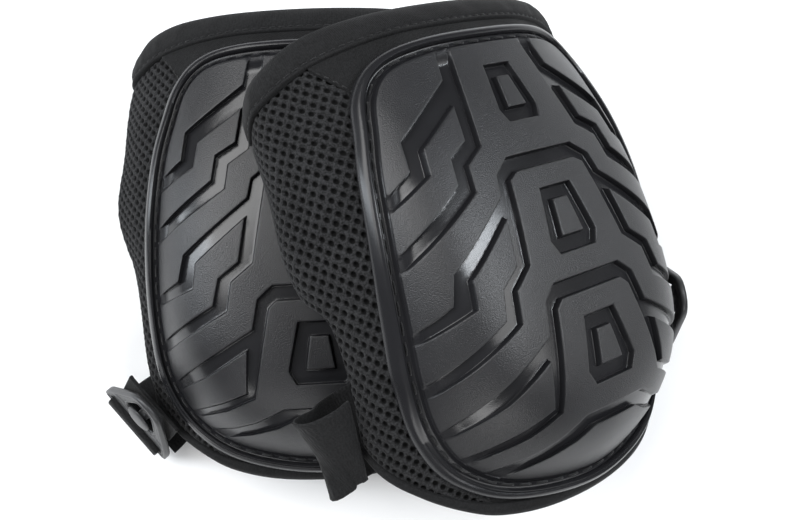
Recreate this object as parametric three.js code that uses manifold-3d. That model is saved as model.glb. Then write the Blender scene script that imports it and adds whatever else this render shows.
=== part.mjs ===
// A pair of gel knee pads, lying shells up: the left pad flat on the ground,
// the right pad leaning over it, with its inner wing on the left pad's crown.
// Millimetres, +Z up. Each pad is modelled in its own frame: x across the knee,
// y along the leg with the thigh end at +y, z out of the kneecap, z = 0 at the crown.

import * as THREE from 'three';
import { mergeVertices } from 'three/addons/utils/BufferGeometryUtils.js';
import Module from 'manifold-3d';

const wasm = await Module();
wasm.setup();

// ---- driving dimensions ----
const gap = 0.35;              // air between flat pieces that touch
const curvedGap = 1.7;           // air between curved pieces, whose facets differ
const padDepth = 84;           // crown down to the hem that rests on the ground
const thighEndY = 118;         // top edge on the centre line
const shinEndY = -101;         // bottom edge on the centre line
const thighCornerDrop = 22;    // how much shorter the top edge is at the hem
const shinCornerRise = 55;     // how much shorter the bottom edge is at the hem
const bindingWidth = 12;       // tape over the thigh edge
const lowBindingWidth = 5;     // tape over the shin edge
const wingThickness = 4.6;     // spacer mesh
const panelThickness = 2.2;    // woven cloth with its backing
const linerThickness = 2;
const shellThickness = 3.2;
const flangeWidth = 8;         // cap rim from the dome's foot to the outside of the bead
const flangeThickness = 2.6;
const flangeGap = 1.9;         // air between the flange and the cloth under it
const beadHeight = 4.2;
const channelInset = 2.2;      // sewing channel, measured out from the dome's foot
const wrapThickness = 1.2;     // how far a binding stands proud of the cloth
const gelSize = { halfWidth: 36, halfLength: 50, y: 2, topZ: -25 };
const strapWidth = 38;
const strapThickness = 1.8;
const clipSize = { width: 45, length: 43, thickness: 3, bar: 4.6, slot: 4.4 };
const studHeadRadius = 7.2;
const leftPadAt = new THREE.Vector3(-32.3, -3.2, padDepth);
const rightPadFromLeft = new THREE.Vector3(106.6, -2.5, 31.4);
const rightPadYaw = 15.8;      // degrees, thigh end towards the left pad
const rightPadRoll = 31.5;     // degrees, outer side down

// ---- looks ----
const looks = {
  shell: { color: 0x1d1d1f, roughness: 0.38, metalness: 0 },
  mesh: { color: 0x19191b, roughness: 0.95, metalness: 0 },
  cloth: { color: 0x1e1e21, roughness: 0.9, metalness: 0 },
  binding: { color: 0x202024, roughness: 0.85, metalness: 0 },
  foam: { color: 0x3a3a3c, roughness: 0.95, metalness: 0 },
  gel: { color: 0x2c4a66, roughness: 0.25, metalness: 0 },
  lining: { color: 0x17171a, roughness: 0.9, metalness: 0 },
  webbing: { color: 0x1b1b1d, roughness: 0.85, metalness: 0 },
  clip: { color: 0x2b2b2e, roughness: 0.45, metalness: 0 },
};

// ---- the pad's body: half profiles from the centre line to the hem ----
// Each station is [x, z] at: centre, mid, foot of the cap, outside the bead,
// upper flank, widest, hem.
const stations = [
  { y: 119, half: [[0, -27], [32, -29.5], [56, -36], [71, -44], [80, -53], [84, -66], [80, -84]] },
  { y: 95, half: [[0, -17.5], [30, -20], [52, -28.5], [68, -38], [80, -48], [87.5, -62], [81, -84]] },
  { y: 60, half: [[0, -16], [35, -18], [63, -25.5], [76, -33], [86, -44], [92, -60], [82, -84]] },
  { y: 30, half: [[0, -16], [38, -18], [69, -26], [81, -34], [90, -45], [95.5, -60], [82, -84]] },
  { y: 0, half: [[0, -17], [40, -19.5], [71.5, -29.5], [80.5, -37], [86, -46], [89, -60], [82, -84]] },
  { y: -20, half: [[0, -18], [40, -22], [71.5, -33.5], [80, -41], [84.5, -49], [86, -62], [81, -84]] },
  { y: -50, half: [[0, -23], [40, -29], [67.5, -41], [77, -47.5], [82.5, -54.5], [84.5, -65], [79, -84]] },
  { y: -75, half: [[0, -31], [30, -36], [52, -43.5], [64, -50], [73, -58], [78, -69], [75, -84]] },
  { y: -104, half: [[0, -42], [24, -44], [42, -49], [54, -55], [63, -62], [69, -73], [68, -84]] },
];

function clamp01(value) {
  return Math.min(1, Math.max(0, value));
}

function smoothStep(from, to, value) {
  const t = clamp01((value - from) / (to - from));
  return t * t * (3 - 2 * t);
}

// Smooth curve through (xs[i], ys[i]), with xs rising or falling.
function through(xs, ys, x) {
  const falling = xs[0] > xs[xs.length - 1];
  const last = xs.length - 1;
  let i = 0;
  while (i < last - 1 && (falling ? x < xs[i + 1] : x > xs[i + 1])) {
    i += 1;
  }
  const slope = (k) => {
    const a = Math.max(0, k - 1);
    const b = Math.min(last, k + 1);
    return (ys[b] - ys[a]) / (xs[b] - xs[a]);
  };
  const span = xs[i + 1] - xs[i];
  const t = clamp01((x - xs[i]) / span);
  const h1 = 1 - t * t * (3 - 2 * t);
  const h2 = t * (1 - t) * (1 - t);
  const h3 = -t * t * (1 - t);
  return h1 * ys[i] + (1 - h1) * ys[i + 1] + span * (h2 * slope(i) + h3 * slope(i + 1));
}

const stationYs = stations.map((station) => station.y);
const stationCurves = stations.map((station) => {
  const right = station.half.map(([x, z]) => new THREE.Vector3(x, 0, z));
  const left = station.half.slice(1).reverse().map(([x, z]) => new THREE.Vector3(-x, 0, z));
  return new THREE.CatmullRomCurve3([...left, ...right], false, 'catmullrom', 0.5);
});

// u runs across the pad: -1 left hem, 0 centre line, 1 right hem.
function profilePoint(u, y) {
  const t = clamp01((u + 1) / 2);
  const samples = stationCurves.map((curve) => curve.getPoint(t));
  const x = through(stationYs, samples.map((p) => p.x), y);
  const z = through(stationYs, samples.map((p) => p.z), y);
  return new THREE.Vector3(x, y, z);
}

// A point of the body at a depth below its outer face, measured in the plane of the profile.
function bodyPoint(u, y, depth) {
  const step = 0.01;
  const a = profilePoint(Math.max(-1, u - step), y);
  const b = profilePoint(Math.min(1, u + step), y);
  const length = Math.hypot(b.x - a.x, b.z - a.z);
  const point = profilePoint(u, y);
  point.x += (depth * (b.z - a.z)) / length;
  point.z -= (depth * (b.x - a.x)) / length;
  return point;
}

// Depth of the lining's outer face: under the wings it backs the mesh, under the cap the foam.
function liningDepth(u) {
  const wing = wingThickness + curvedGap;
  const middle = 17;
  return middle + (wing - middle) * smoothStep(0.02, 0.37, Math.abs(u));
}

// Height at (x, y) of the body surface that lies depthOf(u) below the outer face.
function heightAt(x, y, depthOf) {
  let low = 0;
  let high = 0.72;
  for (let i = 0; i < 26; i += 1) {
    const mid = (low + high) / 2;
    if (bodyPoint(mid, y, depthOf(mid)).x < Math.abs(x)) {
      low = mid;
    } else {
      high = mid;
    }
  }
  return bodyPoint(low, y, depthOf(low)).z;
}

const clothHeight = (x, y) => heightAt(x, y, () => 0);
const liningHeight = (x, y) => heightAt(x, y, liningDepth);

// ---- closed solids ----
function geometryFrom(points, faces) {
  let volume = 0;
  for (const [a, b, c] of faces) {
    volume += points[a].dot(points[b].clone().cross(points[c]));
  }
  const flip = volume < 0;
  const geometry = new THREE.BufferGeometry();
  geometry.setAttribute('position', new THREE.Float32BufferAttribute(points.flatMap((p) => p.toArray()), 3));
  geometry.setIndex(faces.flatMap(([a, b, c]) => (flip ? [a, c, b] : [a, b, c])));
  geometry.computeVertexNormals();
  return geometry;
}

// Closed loops of points joined one to the next; the first and the last are closed to a point.
function loftLoops(startPoint, loops, endPoint) {
  const count = loops[0].length;
  const points = [startPoint, ...loops.flat(), endPoint];
  const at = (loop, i) => 1 + loop * count + (i % count);
  const end = points.length - 1;
  const faces = [];
  for (let i = 0; i < count; i += 1) {
    faces.push([0, at(0, i), at(0, i + 1)]);
    faces.push([end, at(loops.length - 1, i + 1), at(loops.length - 1, i)]);
    for (let k = 0; k < loops.length - 1; k += 1) {
      faces.push([at(k, i), at(k + 1, i), at(k + 1, i + 1)]);
      faces.push([at(k, i), at(k + 1, i + 1), at(k, i + 1)]);
    }
  }
  return geometryFrom(points, faces);
}

// A sheet with thickness: face(s, t, side) gives its outer (side 0) and inner (side 1) face.
function slab(face, across, along) {
  const points = [];
  for (const side of [0, 1]) {
    for (let j = 0; j <= along; j += 1) {
      for (let i = 0; i <= across; i += 1) {
        points.push(face(i / across, j / along, side));
      }
    }
  }
  const row = across + 1;
  const at = (side, i, j) => side * row * (along + 1) + j * row + i;
  const faces = [];
  const quad = (a, b, c, d) => faces.push([a, b, c], [a, c, d]);
  for (let j = 0; j < along; j += 1) {
    for (let i = 0; i < across; i += 1) {
      quad(at(0, i, j), at(0, i + 1, j), at(0, i + 1, j + 1), at(0, i, j + 1));
      quad(at(1, i, j), at(1, i, j + 1), at(1, i + 1, j + 1), at(1, i + 1, j));
    }
    quad(at(0, 0, j), at(0, 0, j + 1), at(1, 0, j + 1), at(1, 0, j));
    quad(at(0, across, j), at(1, across, j), at(1, across, j + 1), at(0, across, j + 1));
  }
  for (let i = 0; i < across; i += 1) {
    quad(at(0, i, 0), at(1, i, 0), at(1, i + 1, 0), at(0, i + 1, 0));
    quad(at(0, i, along), at(0, i + 1, along), at(1, i + 1, along), at(1, i, along));
  }
  return geometryFrom(points, faces);
}

// Point at fraction t of a polyline of [u, y] corners, by corner count.
function alongLine(corners, t) {
  const f = clamp01(t) * (corners.length - 1);
  const i = Math.min(corners.length - 2, Math.floor(f));
  const k = f - i;
  return [0, 1].map((n) => corners[i][n] * (1 - k) + corners[i + 1][n] * k);
}

// Four-sided cloth panel on the body: top and bottom run along s, start and end along t.
function coonsPoint(sides, s, t) {
  const top = alongLine(sides.top, s);
  const bottom = alongLine(sides.bottom, s);
  const start = alongLine(sides.start, t);
  const end = alongLine(sides.end, t);
  const corner = (line, at) => alongLine(line, at);
  return [0, 1].map((n) => {
    const ruled = (1 - t) * top[n] + t * bottom[n] + (1 - s) * start[n] + s * end[n];
    const corners = (1 - s) * (1 - t) * corner(sides.top, 0)[n] + s * (1 - t) * corner(sides.top, 1)[n]
      + (1 - s) * t * corner(sides.bottom, 0)[n] + s * t * corner(sides.bottom, 1)[n];
    return ruled - corners;
  });
}

function clothPanel(sides, depths, mirror, across, along) {
  return slab((s, t, side) => {
    const [u, y] = coonsPoint(sides, s, t);
    return bodyPoint(mirror * u, y, depths[side]);
  }, across, along);
}

function manifoldOf(geometry) {
  const bare = geometry.clone();
  bare.deleteAttribute('normal');
  bare.deleteAttribute('uv');
  const merged = mergeVertices(bare);
  return new wasm.Manifold(new wasm.Mesh({
    numProp: 3,
    vertProperties: new Float32Array(merged.attributes.position.array),
    triVerts: new Uint32Array(merged.index.array),
  }));
}

function geometryOf(manifold) {
  const mesh = manifold.getMesh();
  const geometry = new THREE.BufferGeometry();
  geometry.setAttribute('position', new THREE.Float32BufferAttribute(mesh.vertProperties, 3));
  geometry.setIndex(Array.from(mesh.triVerts));
  geometry.computeVertexNormals();
  return geometry;
}

// ---- outlines ----
// Foot of the cap's dome in plan, right half, from the thigh end round to the shin end.
const capHalf = [[0, 92.5], [28, 92], [46, 89], [55.5, 80], [61, 65], [66, 47], [70, 20],
  [71.8, -8], [71.5, -30], [68, -51], [57, -70], [36, -83], [0, -89]];
const capOutline = new THREE.CatmullRomCurve3([
  ...capHalf.map(([x, y]) => new THREE.Vector3(x, y, 0)),
  ...capHalf.slice(1, -1).reverse().map(([x, y]) => new THREE.Vector3(-x, y, 0)),
], true, 'catmullrom', 0.5);
const capSegments = 36;

// The cap outline moved outwards in plan by a distance.
function capLoop(distance) {
  const loop = [];
  for (let i = 0; i < capSegments; i += 1) {
    const t = i / capSegments;
    const point = capOutline.getPoint(t);
    const tangent = capOutline.getTangent(t);
    loop.push(new THREE.Vector3(point.x - tangent.y * distance, point.y + tangent.x * distance, 0));
  }
  return loop;
}

function thighEdge(u) {
  return thighEndY - thighCornerDrop * Math.abs(u) ** 2.5;
}

function shinEdge(u) {
  return shinEndY + shinCornerRise * u * u;
}

// ---- the cap ----
const capFoot = capLoop(0).map((p) => p.setZ(clothHeight(p.x, p.y) + flangeGap + flangeThickness + 0.4));

// Height of the gently crowned top, before its edge rolls down to the foot.
function crownHeight(x, y) {
  const a = x / 70;
  const b = y / 90;
  return -(3.7 * a * a + 9.8 * b * b + 4.4 * b ** 3 + 7.9 * a * a * b);
}

// Point of the dome over foot point i, at fraction r of the way out.
function domePoint(i, r) {
  const rollPower = 5.7;
  const foot = capFoot[i];
  const x = foot.x * r;
  const y = foot.y * r;
  const roll = (foot.z - crownHeight(foot.x, foot.y)) * r ** rollPower;
  return new THREE.Vector3(x, y, crownHeight(x, y) + roll);
}

const domeRings = [0.3, 0.55, 0.75, 0.88, 0.95];
const everyFoot = capFoot.map((_, i) => i);

// The dome's underside, and everything that nests in it, is the dome shrunk and lowered.
function nestedLoop(r, shrink, drop) {
  return everyFoot.map((i) => {
    const p = domePoint(i, r);
    return new THREE.Vector3(p.x * shrink, p.y * shrink, p.z - drop);
  });
}

function flangeLoop(distance, height) {
  return capLoop(distance).map((p) => p.setZ(clothHeight(p.x, p.y) + flangeGap + height));
}

function makeShell() {
  const shrink = 0.96;
  const loops = [
    ...domeRings.map((r) => everyFoot.map((i) => domePoint(i, r))),
    capFoot,
    flangeLoop(channelInset, flangeThickness - 1),
    flangeLoop(flangeWidth - 3.4, beadHeight),
    flangeLoop(flangeWidth - 1.2, beadHeight - 0.4),
    flangeLoop(flangeWidth, beadHeight / 2),
    flangeLoop(flangeWidth - 0.6, 0),
    flangeLoop(channelInset, 0),
    nestedLoop(0.985, shrink, shellThickness),
    ...[...domeRings].reverse().map((r) => nestedLoop(r, shrink, shellThickness)),
  ];
  return loftLoops(new THREE.Vector3(0, 0, 0), loops, new THREE.Vector3(0, 0, -shellThickness));
}

function makeFoamCore() {
  const shrink = 0.94;
  const drop = shellThickness + gap + 0.3;
  const rings = domeRings;
  const top = rings.map((r) => nestedLoop(r, shrink, drop));
  const under = (loop) => loop.map((p) => p.clone().setZ(liningHeight(p.x, p.y) + curvedGap));
  const bottom = [...top].reverse().map(under);
  const start = new THREE.Vector3(0, 0, -drop);
  const end = new THREE.Vector3(0, 0, liningHeight(0, 0) + curvedGap);
  const core = manifoldOf(loftLoops(start, [...top, ...bottom], end));
  return geometryOf(core.subtract(manifoldOf(makeGel(gap + 0.1, 6))));
}

// The gel pad; grown by a margin and dropped lower it is also the tool that cuts its pocket.
function makeGel(margin, lower) {
  const segments = 24;
  const ring = (r, z) => Array.from({ length: segments }, (_, i) => {
    const angle = (i / segments) * 2 * Math.PI;
    const x = (gelSize.halfWidth + margin) * r * Math.cos(angle);
    const y = gelSize.y + (gelSize.halfLength + margin) * r * Math.sin(angle);
    return new THREE.Vector3(x, y, z(x, y));
  });
  const top = () => gelSize.topZ + margin;
  const edge = () => gelSize.topZ - 2 + margin;
  const under = (x, y) => liningHeight(x, y) + curvedGap - lower;
  const loops = [ring(0.5, top), ring(0.93, top), ring(1, edge), ring(1, under), ring(0.66, under), ring(0.33, under)];
  const start = new THREE.Vector3(0, gelSize.y, gelSize.topZ + margin);
  const end = new THREE.Vector3(0, gelSize.y, under(0, gelSize.y));
  return loftLoops(start, loops, end);
}

// ---- cloth panels, as [u, y] corners on the body ----
const hemU = 0.995;
const notchU = 0.8;
const strapHemU = 0.92;        // the hem is cut higher where the lower strap passes under it
const seam = 1.2;              // half the gap left at a seam
const mirrorLine = (line) => line.map(([u, y]) => [-u, y]).reverse();

// Hem of a wing from the thigh end down to the shin end, with the notch between its lobes.
const lowEdge = (u) => [u, shinEdge(u) + lowBindingWidth + 1.8 * seam];
const highEdge = (u) => [u, thighEdge(u) - bindingWidth - seam];
const wingHem = [highEdge(hemU), [hemU, 62], [hemU, 38], [hemU, 22], [0.9, 13], [notchU, 6], [notchU, -4],
  [0.9, -10], [hemU, -14], [hemU, -18], [strapHemU, -24], [strapHemU, -36], lowEdge(strapHemU)];
const sidePanels = {
  top: [[0.365, 84 - seam], highEdge(0.52), highEdge(0.76), highEdge(hemU)],
  bottom: [[0.3, -80], lowEdge(0.345), lowEdge(0.56), lowEdge(0.76), lowEdge(strapHemU)],
  start: [[0.365, 84 - seam], [0.365, 60], [0.365, 20], [0.365, -20], [0.36, -50], [0.345, -66], [0.3, -80]],
  end: wingHem,
};
const thighInner = [[0.365, 84 + seam], [0.3, 91], [0.2, 95.5], [0.1, 96]];
const thighOuter = [highEdge(0.505), highEdge(0.35), highEdge(0.17)];
const topPanel = {
  top: [...thighOuter, highEdge(0), ...mirrorLine(thighOuter)],
  bottom: [...thighInner, [0, 96], ...mirrorLine(thighInner)],
  start: [thighOuter[0], thighInner[0]],
  end: [mirrorLine(thighOuter)[2], mirrorLine(thighInner)[3]],
};
const shinInner = [[0.295, -80.5], [0.2, -87], [0.1, -91]];
const shinOuter = [0.34, 0.23, 0.11].map((u) => [u, shinEdge(u) + lowBindingWidth + seam]);
const bottomPanel = {
  top: [...shinInner, [0, -92.5], ...mirrorLine(shinInner)],
  bottom: [...shinOuter, [0, shinEndY + lowBindingWidth + seam], ...mirrorLine(shinOuter)],
  start: [shinInner[0], shinOuter[0]],
  end: [mirrorLine(shinInner)[2], mirrorLine(shinOuter)[2]],
};

function makeBinding(edge, width, reach) {
  const inward = Math.sign(-edge(0)) * width;
  const proud = [-wrapThickness, 0];
  return slab((s, t, side) => {
    const u = (2 * s - 1) * reach;
    const y = edge(u) + inward * t;
    const depth = side === 0 ? proud[0] : liningDepth(u) + linerThickness + wrapThickness;
    return bodyPoint(u, y, depth);
  }, 18, 2);
}

function makeLiner() {
  const inset = 3;
  const half = (u, thigh) => (thigh ? thighEdge(u) - bindingWidth : shinEdge(u) + lowBindingWidth);
  return slab((s, t, side) => {
    const line = alongLine(wingHem, t);
    const reach = line[0] - 0.01;
    const u = (2 * s - 1) * reach;
    const y = half(u, true) - inset + t * (half(u, false) - half(u, true) + 2 * inset);
    return bodyPoint(u, y, liningDepth(u) + side * linerThickness);
  }, 14, 14);
}

// ---- straps, clips and rivets ----
// A flat strap along a smooth path; flat(t) is the direction of its width.
function makeStrap(path, widthFrom, widthTo, twistEnd, segments) {
  const curve = new THREE.CatmullRomCurve3(path, false, 'centripetal');
  return slab((s, t, side) => {
    const point = curve.getPointAt(t);
    const across = widthFrom.clone().lerp(widthTo, smoothStep(0, twistEnd, t)).normalize();
    const normal = across.clone().cross(curve.getTangentAt(t)).normalize();
    across.copy(curve.getTangentAt(t)).cross(normal).normalize();
    return point.addScaledVector(across, (s - 0.5) * strapWidth)
      .addScaledVector(normal, (0.5 - side) * strapThickness);
  }, 1, segments);
}

// Heights above the cloth, along the rivet.
const stack = { backFlange: 0.35, tab: 1.5, frontFlange: 3.65, clip: 5.6, head: 9.0, top: 10.8 };

function clipOutline() {
  const { width, length, bar, slot } = clipSize;
  const low = -length / 2;
  const apexRadius = 11;
  const outline = new THREE.Shape();
  outline.moveTo(-width / 2 + 2, low);
  outline.lineTo(width / 2 - 2, low);
  outline.lineTo(width / 2, low + 3);
  outline.lineTo(width / 2 - 2, low + 8);
  outline.lineTo(apexRadius * 0.93, length / 2 - apexRadius * 0.62);
  outline.absarc(0, length / 2 - apexRadius, apexRadius, 0.36, Math.PI - 0.36, false);
  outline.lineTo(-width / 2 + 2, low + 8);
  outline.lineTo(-width / 2, low + 3);
  outline.closePath();
  const slotHole = new THREE.Path();
  slotHole.moveTo(-strapWidth / 2 - 0.4, low + bar);
  slotHole.lineTo(-strapWidth / 2 + 1.6, low + bar + slot);
  slotHole.lineTo(strapWidth / 2 - 1.6, low + bar + slot);
  slotHole.lineTo(strapWidth / 2 + 0.4, low + bar);
  slotHole.closePath();
  const keyhole = new THREE.Path();
  const keyTop = length / 2 - 7;
  keyhole.moveTo(-10, keyTop - 17);
  keyhole.absarc(0, keyTop - 4.5, 4.5, Math.PI - 0.4, 0.4, true);
  keyhole.lineTo(10, keyTop - 17);
  keyhole.lineTo(8, keyTop - 20);
  keyhole.lineTo(-8, keyTop - 20);
  keyhole.closePath();
  outline.holes.push(slotHole, keyhole);
  return outline;
}

// Clip, flat in its own frame: x across the strap, y towards its apex, z outwards, stud at the origin.
function makeClip() {
  const geometry = new THREE.ExtrudeGeometry(clipOutline(), {
    depth: clipSize.thickness, bevelEnabled: false, curveSegments: 6,
  });
  return geometry.translate(0, -1.5, stack.clip);
}

function makeStud() {
  const neck = 2.4;
  const profile = [[0, stack.backFlange], [6, stack.backFlange], [6, stack.backFlange + 0.8],
    [neck, stack.backFlange + 0.8], [neck, stack.frontFlange], [6.4, stack.frontFlange],
    [6.4, stack.frontFlange + 0.9], [neck + 0.6, stack.frontFlange + 0.9], [neck + 0.6, stack.head],
    [studHeadRadius, stack.head], [studHeadRadius, stack.head + 0.8], [studHeadRadius - 2.2, stack.top], [0, stack.top]];
  const lathe = new THREE.LatheGeometry(profile.map(([r, z]) => new THREE.Vector2(r, z)), 14);
  return lathe.rotateX(Math.PI / 2);
}

// Webbing tab under the stud; it runs from the body's edge past the rivet.
function makeTab(reach) {
  const outline = new THREE.Shape();
  const half = strapWidth / 2 - 2;
  outline.moveTo(-half, -11);
  outline.lineTo(half, -11);
  outline.lineTo(half, reach);
  outline.lineTo(-half, reach);
  outline.closePath();
  const hole = new THREE.Path();
  hole.absarc(0, 0, 2.8, 0, 2 * Math.PI, true);
  outline.holes.push(hole);
  const geometry = new THREE.ExtrudeGeometry(outline, { depth: 1.8, bevelEnabled: false, curveSegments: 8 });
  return geometry.translate(0, 0, stack.tab);
}

// The strap's end, folded round the clip's bar.
function makeStrapLoop() {
  const low = -clipSize.length / 2 - 1.5;
  const inner = { y0: low - gap, y1: low + clipSize.bar + gap, z0: stack.clip - gap, z1: stack.clip + clipSize.thickness + gap };
  const rectangle = (Kind, grow) => {
    const ring = new Kind();
    ring.moveTo(inner.y0 - grow, inner.z0 - grow);
    ring.lineTo(inner.y1 + grow, inner.z0 - grow);
    ring.lineTo(inner.y1 + grow, inner.z1 + grow);
    ring.lineTo(inner.y0 - grow, inner.z1 + grow);
    ring.closePath();
    return ring;
  };
  const ring = rectangle(THREE.Shape, strapThickness);
  ring.holes.push(rectangle(THREE.Path, 0));
  const geometry = new THREE.ExtrudeGeometry(ring, { depth: strapWidth - 3, bevelEnabled: false });
  geometry.translate(0, 0, -(strapWidth - 3) / 2);
  return geometry.applyMatrix4(new THREE.Matrix4().makeBasis(
    new THREE.Vector3(0, 1, 0), new THREE.Vector3(0, 0, 1), new THREE.Vector3(1, 0, 0),
  ));
}

// Frame of a clip: z along outwards, y towards the apex, turned about the rivet by turn degrees.
function clipFrame(at, outwards, apex, turn) {
  const z = outwards.clone().normalize();
  const y = apex.clone().addScaledVector(z, -apex.dot(z)).normalize();
  const x = y.clone().cross(z);
  const frame = new THREE.Matrix4().makeBasis(x, y, z).setPosition(at);
  return frame.multiply(new THREE.Matrix4().makeRotationZ(THREE.MathUtils.degToRad(turn)));
}

// ---- one pad ----
function makePad(prefix, outer, layout) {
  const pad = new THREE.Group();
  const add = (name, geometry, look) => {
    const mesh = new THREE.Mesh(geometry, new THREE.MeshStandardMaterial(looks[look]));
    mesh.name = `${prefix}_${name}`;
    pad.add(mesh);
  };
  const wing = (mirror) => clothPanel(sidePanels, [0, wingThickness], mirror, 6, 24);
  add('shell', makeShell(), 'shell');
  add('foam_core', makeFoamCore(), 'foam');
  add('gel_insert', makeGel(0, 0), 'gel');
  add('liner', makeLiner(), 'lining');
  add('top_panel', clothPanel(topPanel, [0, panelThickness], 1, 12, 2), 'cloth');
  add('bottom_panel', clothPanel(bottomPanel, [0, panelThickness], 1, 12, 2), 'cloth');
  add('inner_wing', wing(-outer), 'mesh');
  add('outer_wing', wing(outer), 'mesh');
  add('top_binding', makeBinding(thighEdge, bindingWidth, hemU), 'binding');
  add('bottom_binding', makeBinding(shinEdge, lowBindingWidth, strapHemU), 'binding');
  for (const [end, place] of Object.entries(layout)) {
    const side = (v) => new THREE.Vector3(outer * v[0], v[1], v[2]);
    const frame = clipFrame(side(place.stud), side(place.outwards), side(place.apex), outer * place.turn);
    const tabFrame = clipFrame(side(place.stud), side(place.outwards), side(place.apex), 0);
    add(`${end}_tab`, makeTab(place.tabReach).applyMatrix4(tabFrame), 'webbing');
    add(`${end}_stud`, makeStud().applyMatrix4(frame), 'clip');
    add(`${end}_clip`, makeClip().applyMatrix4(frame), 'clip');
    add(`${end}_strap_loop`, makeStrapLoop().applyMatrix4(frame), 'webbing');
    const widthAtClip = new THREE.Vector3(outer, 0, 0).transformDirection(frame);
    const path = place.strap.map(side);
    add(`${end}_strap`, makeStrap(path, widthAtClip, new THREE.Vector3(0, 1, 0), place.twist, 22), 'webbing');
  }
  return pad;
}

// Places are for a pad whose outer side is +x: the rivet, the way it points, the way the clip's
// apex points, the clip's turn about the rivet, and the strap from the clip to the far wing.
const leftLayout = {
  upper: {
    stud: [58, 38, -73.2], outwards: [0, 0, -1], apex: [1, 0, 0], turn: 0, tabReach: 16, twist: 0.25,
    strap: [[31, 38, -80.8], [10, 38, -82.2], [-20, 38, -82.2], [-48, 38, -82.2], [-70, 38, -79],
      [-77, 38, -70], [-79, 38, -58]],
  },
  lower: {
    stud: [83, -64, -58], outwards: [0.707, -0.562, 0.423], apex: [-0.33, 0.263, 0.906], turn: 0, tabReach: 14, twist: 0.25,
    strap: [[90, -75, -80.6], [78, -66, -82.6], [40, -50, -82.6], [0, -44, -82.6], [-50, -44, -82.6],
      [-80, -43, -81.5], [-92, -43, -81], [-96, -43, -76], [-93, -43, -71], [-88, -43, -68]],
  },
};

// The right pad's straps rise over the left pad's shoulder, which stands in its hollow.
const rightLayout = {
  upper: {
    stud: [60, 38, -62], outwards: [-0.42, 0, -0.9], apex: [0.9, 0, -0.42], turn: 0, tabReach: 14, twist: 0.25,
    strap: [[32, 38, -57], [10, 38, -53.5], [-15, 38, -52], [-40, 38, -57], [-62, 38, -66],
      [-76, 38, -67], [-79, 38, -58]],
  },
  lower: {
    stud: [81.8, -38, -43.4], outwards: [0.835, -0.2, 0.51], apex: [-0.5, 0.1, 0.86], turn: 0, tabReach: 9, twist: 0.06,
    strap: [[103.4, -42.5, -66.4], [102.3, -42.6, -68.9], [98, -42.8, -72.1], [92, -43.2, -75.5], [86, -43.6, -79],
      [64, -44, -78], [40, -43, -70],
      [10, -44, -63], [-20, -44, -62], [-50, -44, -69], [-70, -43, -78], [-82, -43, -82], [-92, -43, -81],
      [-96, -43, -76], [-93, -43, -71], [-88, -43, -68]],
  },
};

const leftPad = makePad('left', -1, leftLayout);
leftPad.position.copy(leftPadAt);

const rightPad = makePad('right', 1, rightLayout);
rightPad.position.copy(leftPadAt).add(rightPadFromLeft);
rightPad.rotation.order = 'ZYX';
rightPad.rotation.z = THREE.MathUtils.degToRad(rightPadYaw);
rightPad.rotation.y = THREE.MathUtils.degToRad(rightPadRoll);

const kneePads = new THREE.Group();
kneePads.add(leftPad, rightPad);

export default kneePads;
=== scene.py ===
"""A pair of gel knee pads lying caps up, the right one leaning over the left one."""

import math

import bpy
import numpy as np
from mathutils import Matrix, Vector
from mathutils.geometry import delaunay_2d_cdt


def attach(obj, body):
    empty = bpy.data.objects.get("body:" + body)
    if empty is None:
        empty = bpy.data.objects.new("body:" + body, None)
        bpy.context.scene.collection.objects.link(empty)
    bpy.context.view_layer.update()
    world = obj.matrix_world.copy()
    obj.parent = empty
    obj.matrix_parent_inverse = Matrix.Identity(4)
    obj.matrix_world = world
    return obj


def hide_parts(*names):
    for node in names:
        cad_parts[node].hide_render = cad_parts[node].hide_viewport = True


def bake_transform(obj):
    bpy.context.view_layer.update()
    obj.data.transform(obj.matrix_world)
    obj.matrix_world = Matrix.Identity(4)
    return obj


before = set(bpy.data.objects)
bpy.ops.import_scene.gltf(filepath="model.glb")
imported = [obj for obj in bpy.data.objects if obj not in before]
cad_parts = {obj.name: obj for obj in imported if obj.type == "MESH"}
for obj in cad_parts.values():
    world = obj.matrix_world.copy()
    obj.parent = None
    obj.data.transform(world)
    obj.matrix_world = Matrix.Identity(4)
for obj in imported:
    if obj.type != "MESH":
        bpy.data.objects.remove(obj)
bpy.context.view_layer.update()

# ---- where the pads are: each is built in its own frame, in millimetres ----
LEFT_AT = Vector((-32.3, -3.2, 84.0))
RIGHT_FROM_LEFT = Vector((106.6, -2.5, 31.4))
TURNS = (Matrix.Rotation(math.radians(15.8), 4, "Z"), Matrix.Rotation(math.radians(31.5), 4, "Y"))
MM = Matrix.Scale(0.001, 4)
PAD_FRAME = {
    "left": MM @ Matrix.Translation(LEFT_AT),
    "right": MM @ Matrix.Translation(LEFT_AT + RIGHT_FROM_LEFT) @ TURNS[0] @ TURNS[1],
}
OUTER = {"left": -1, "right": 1}

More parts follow.
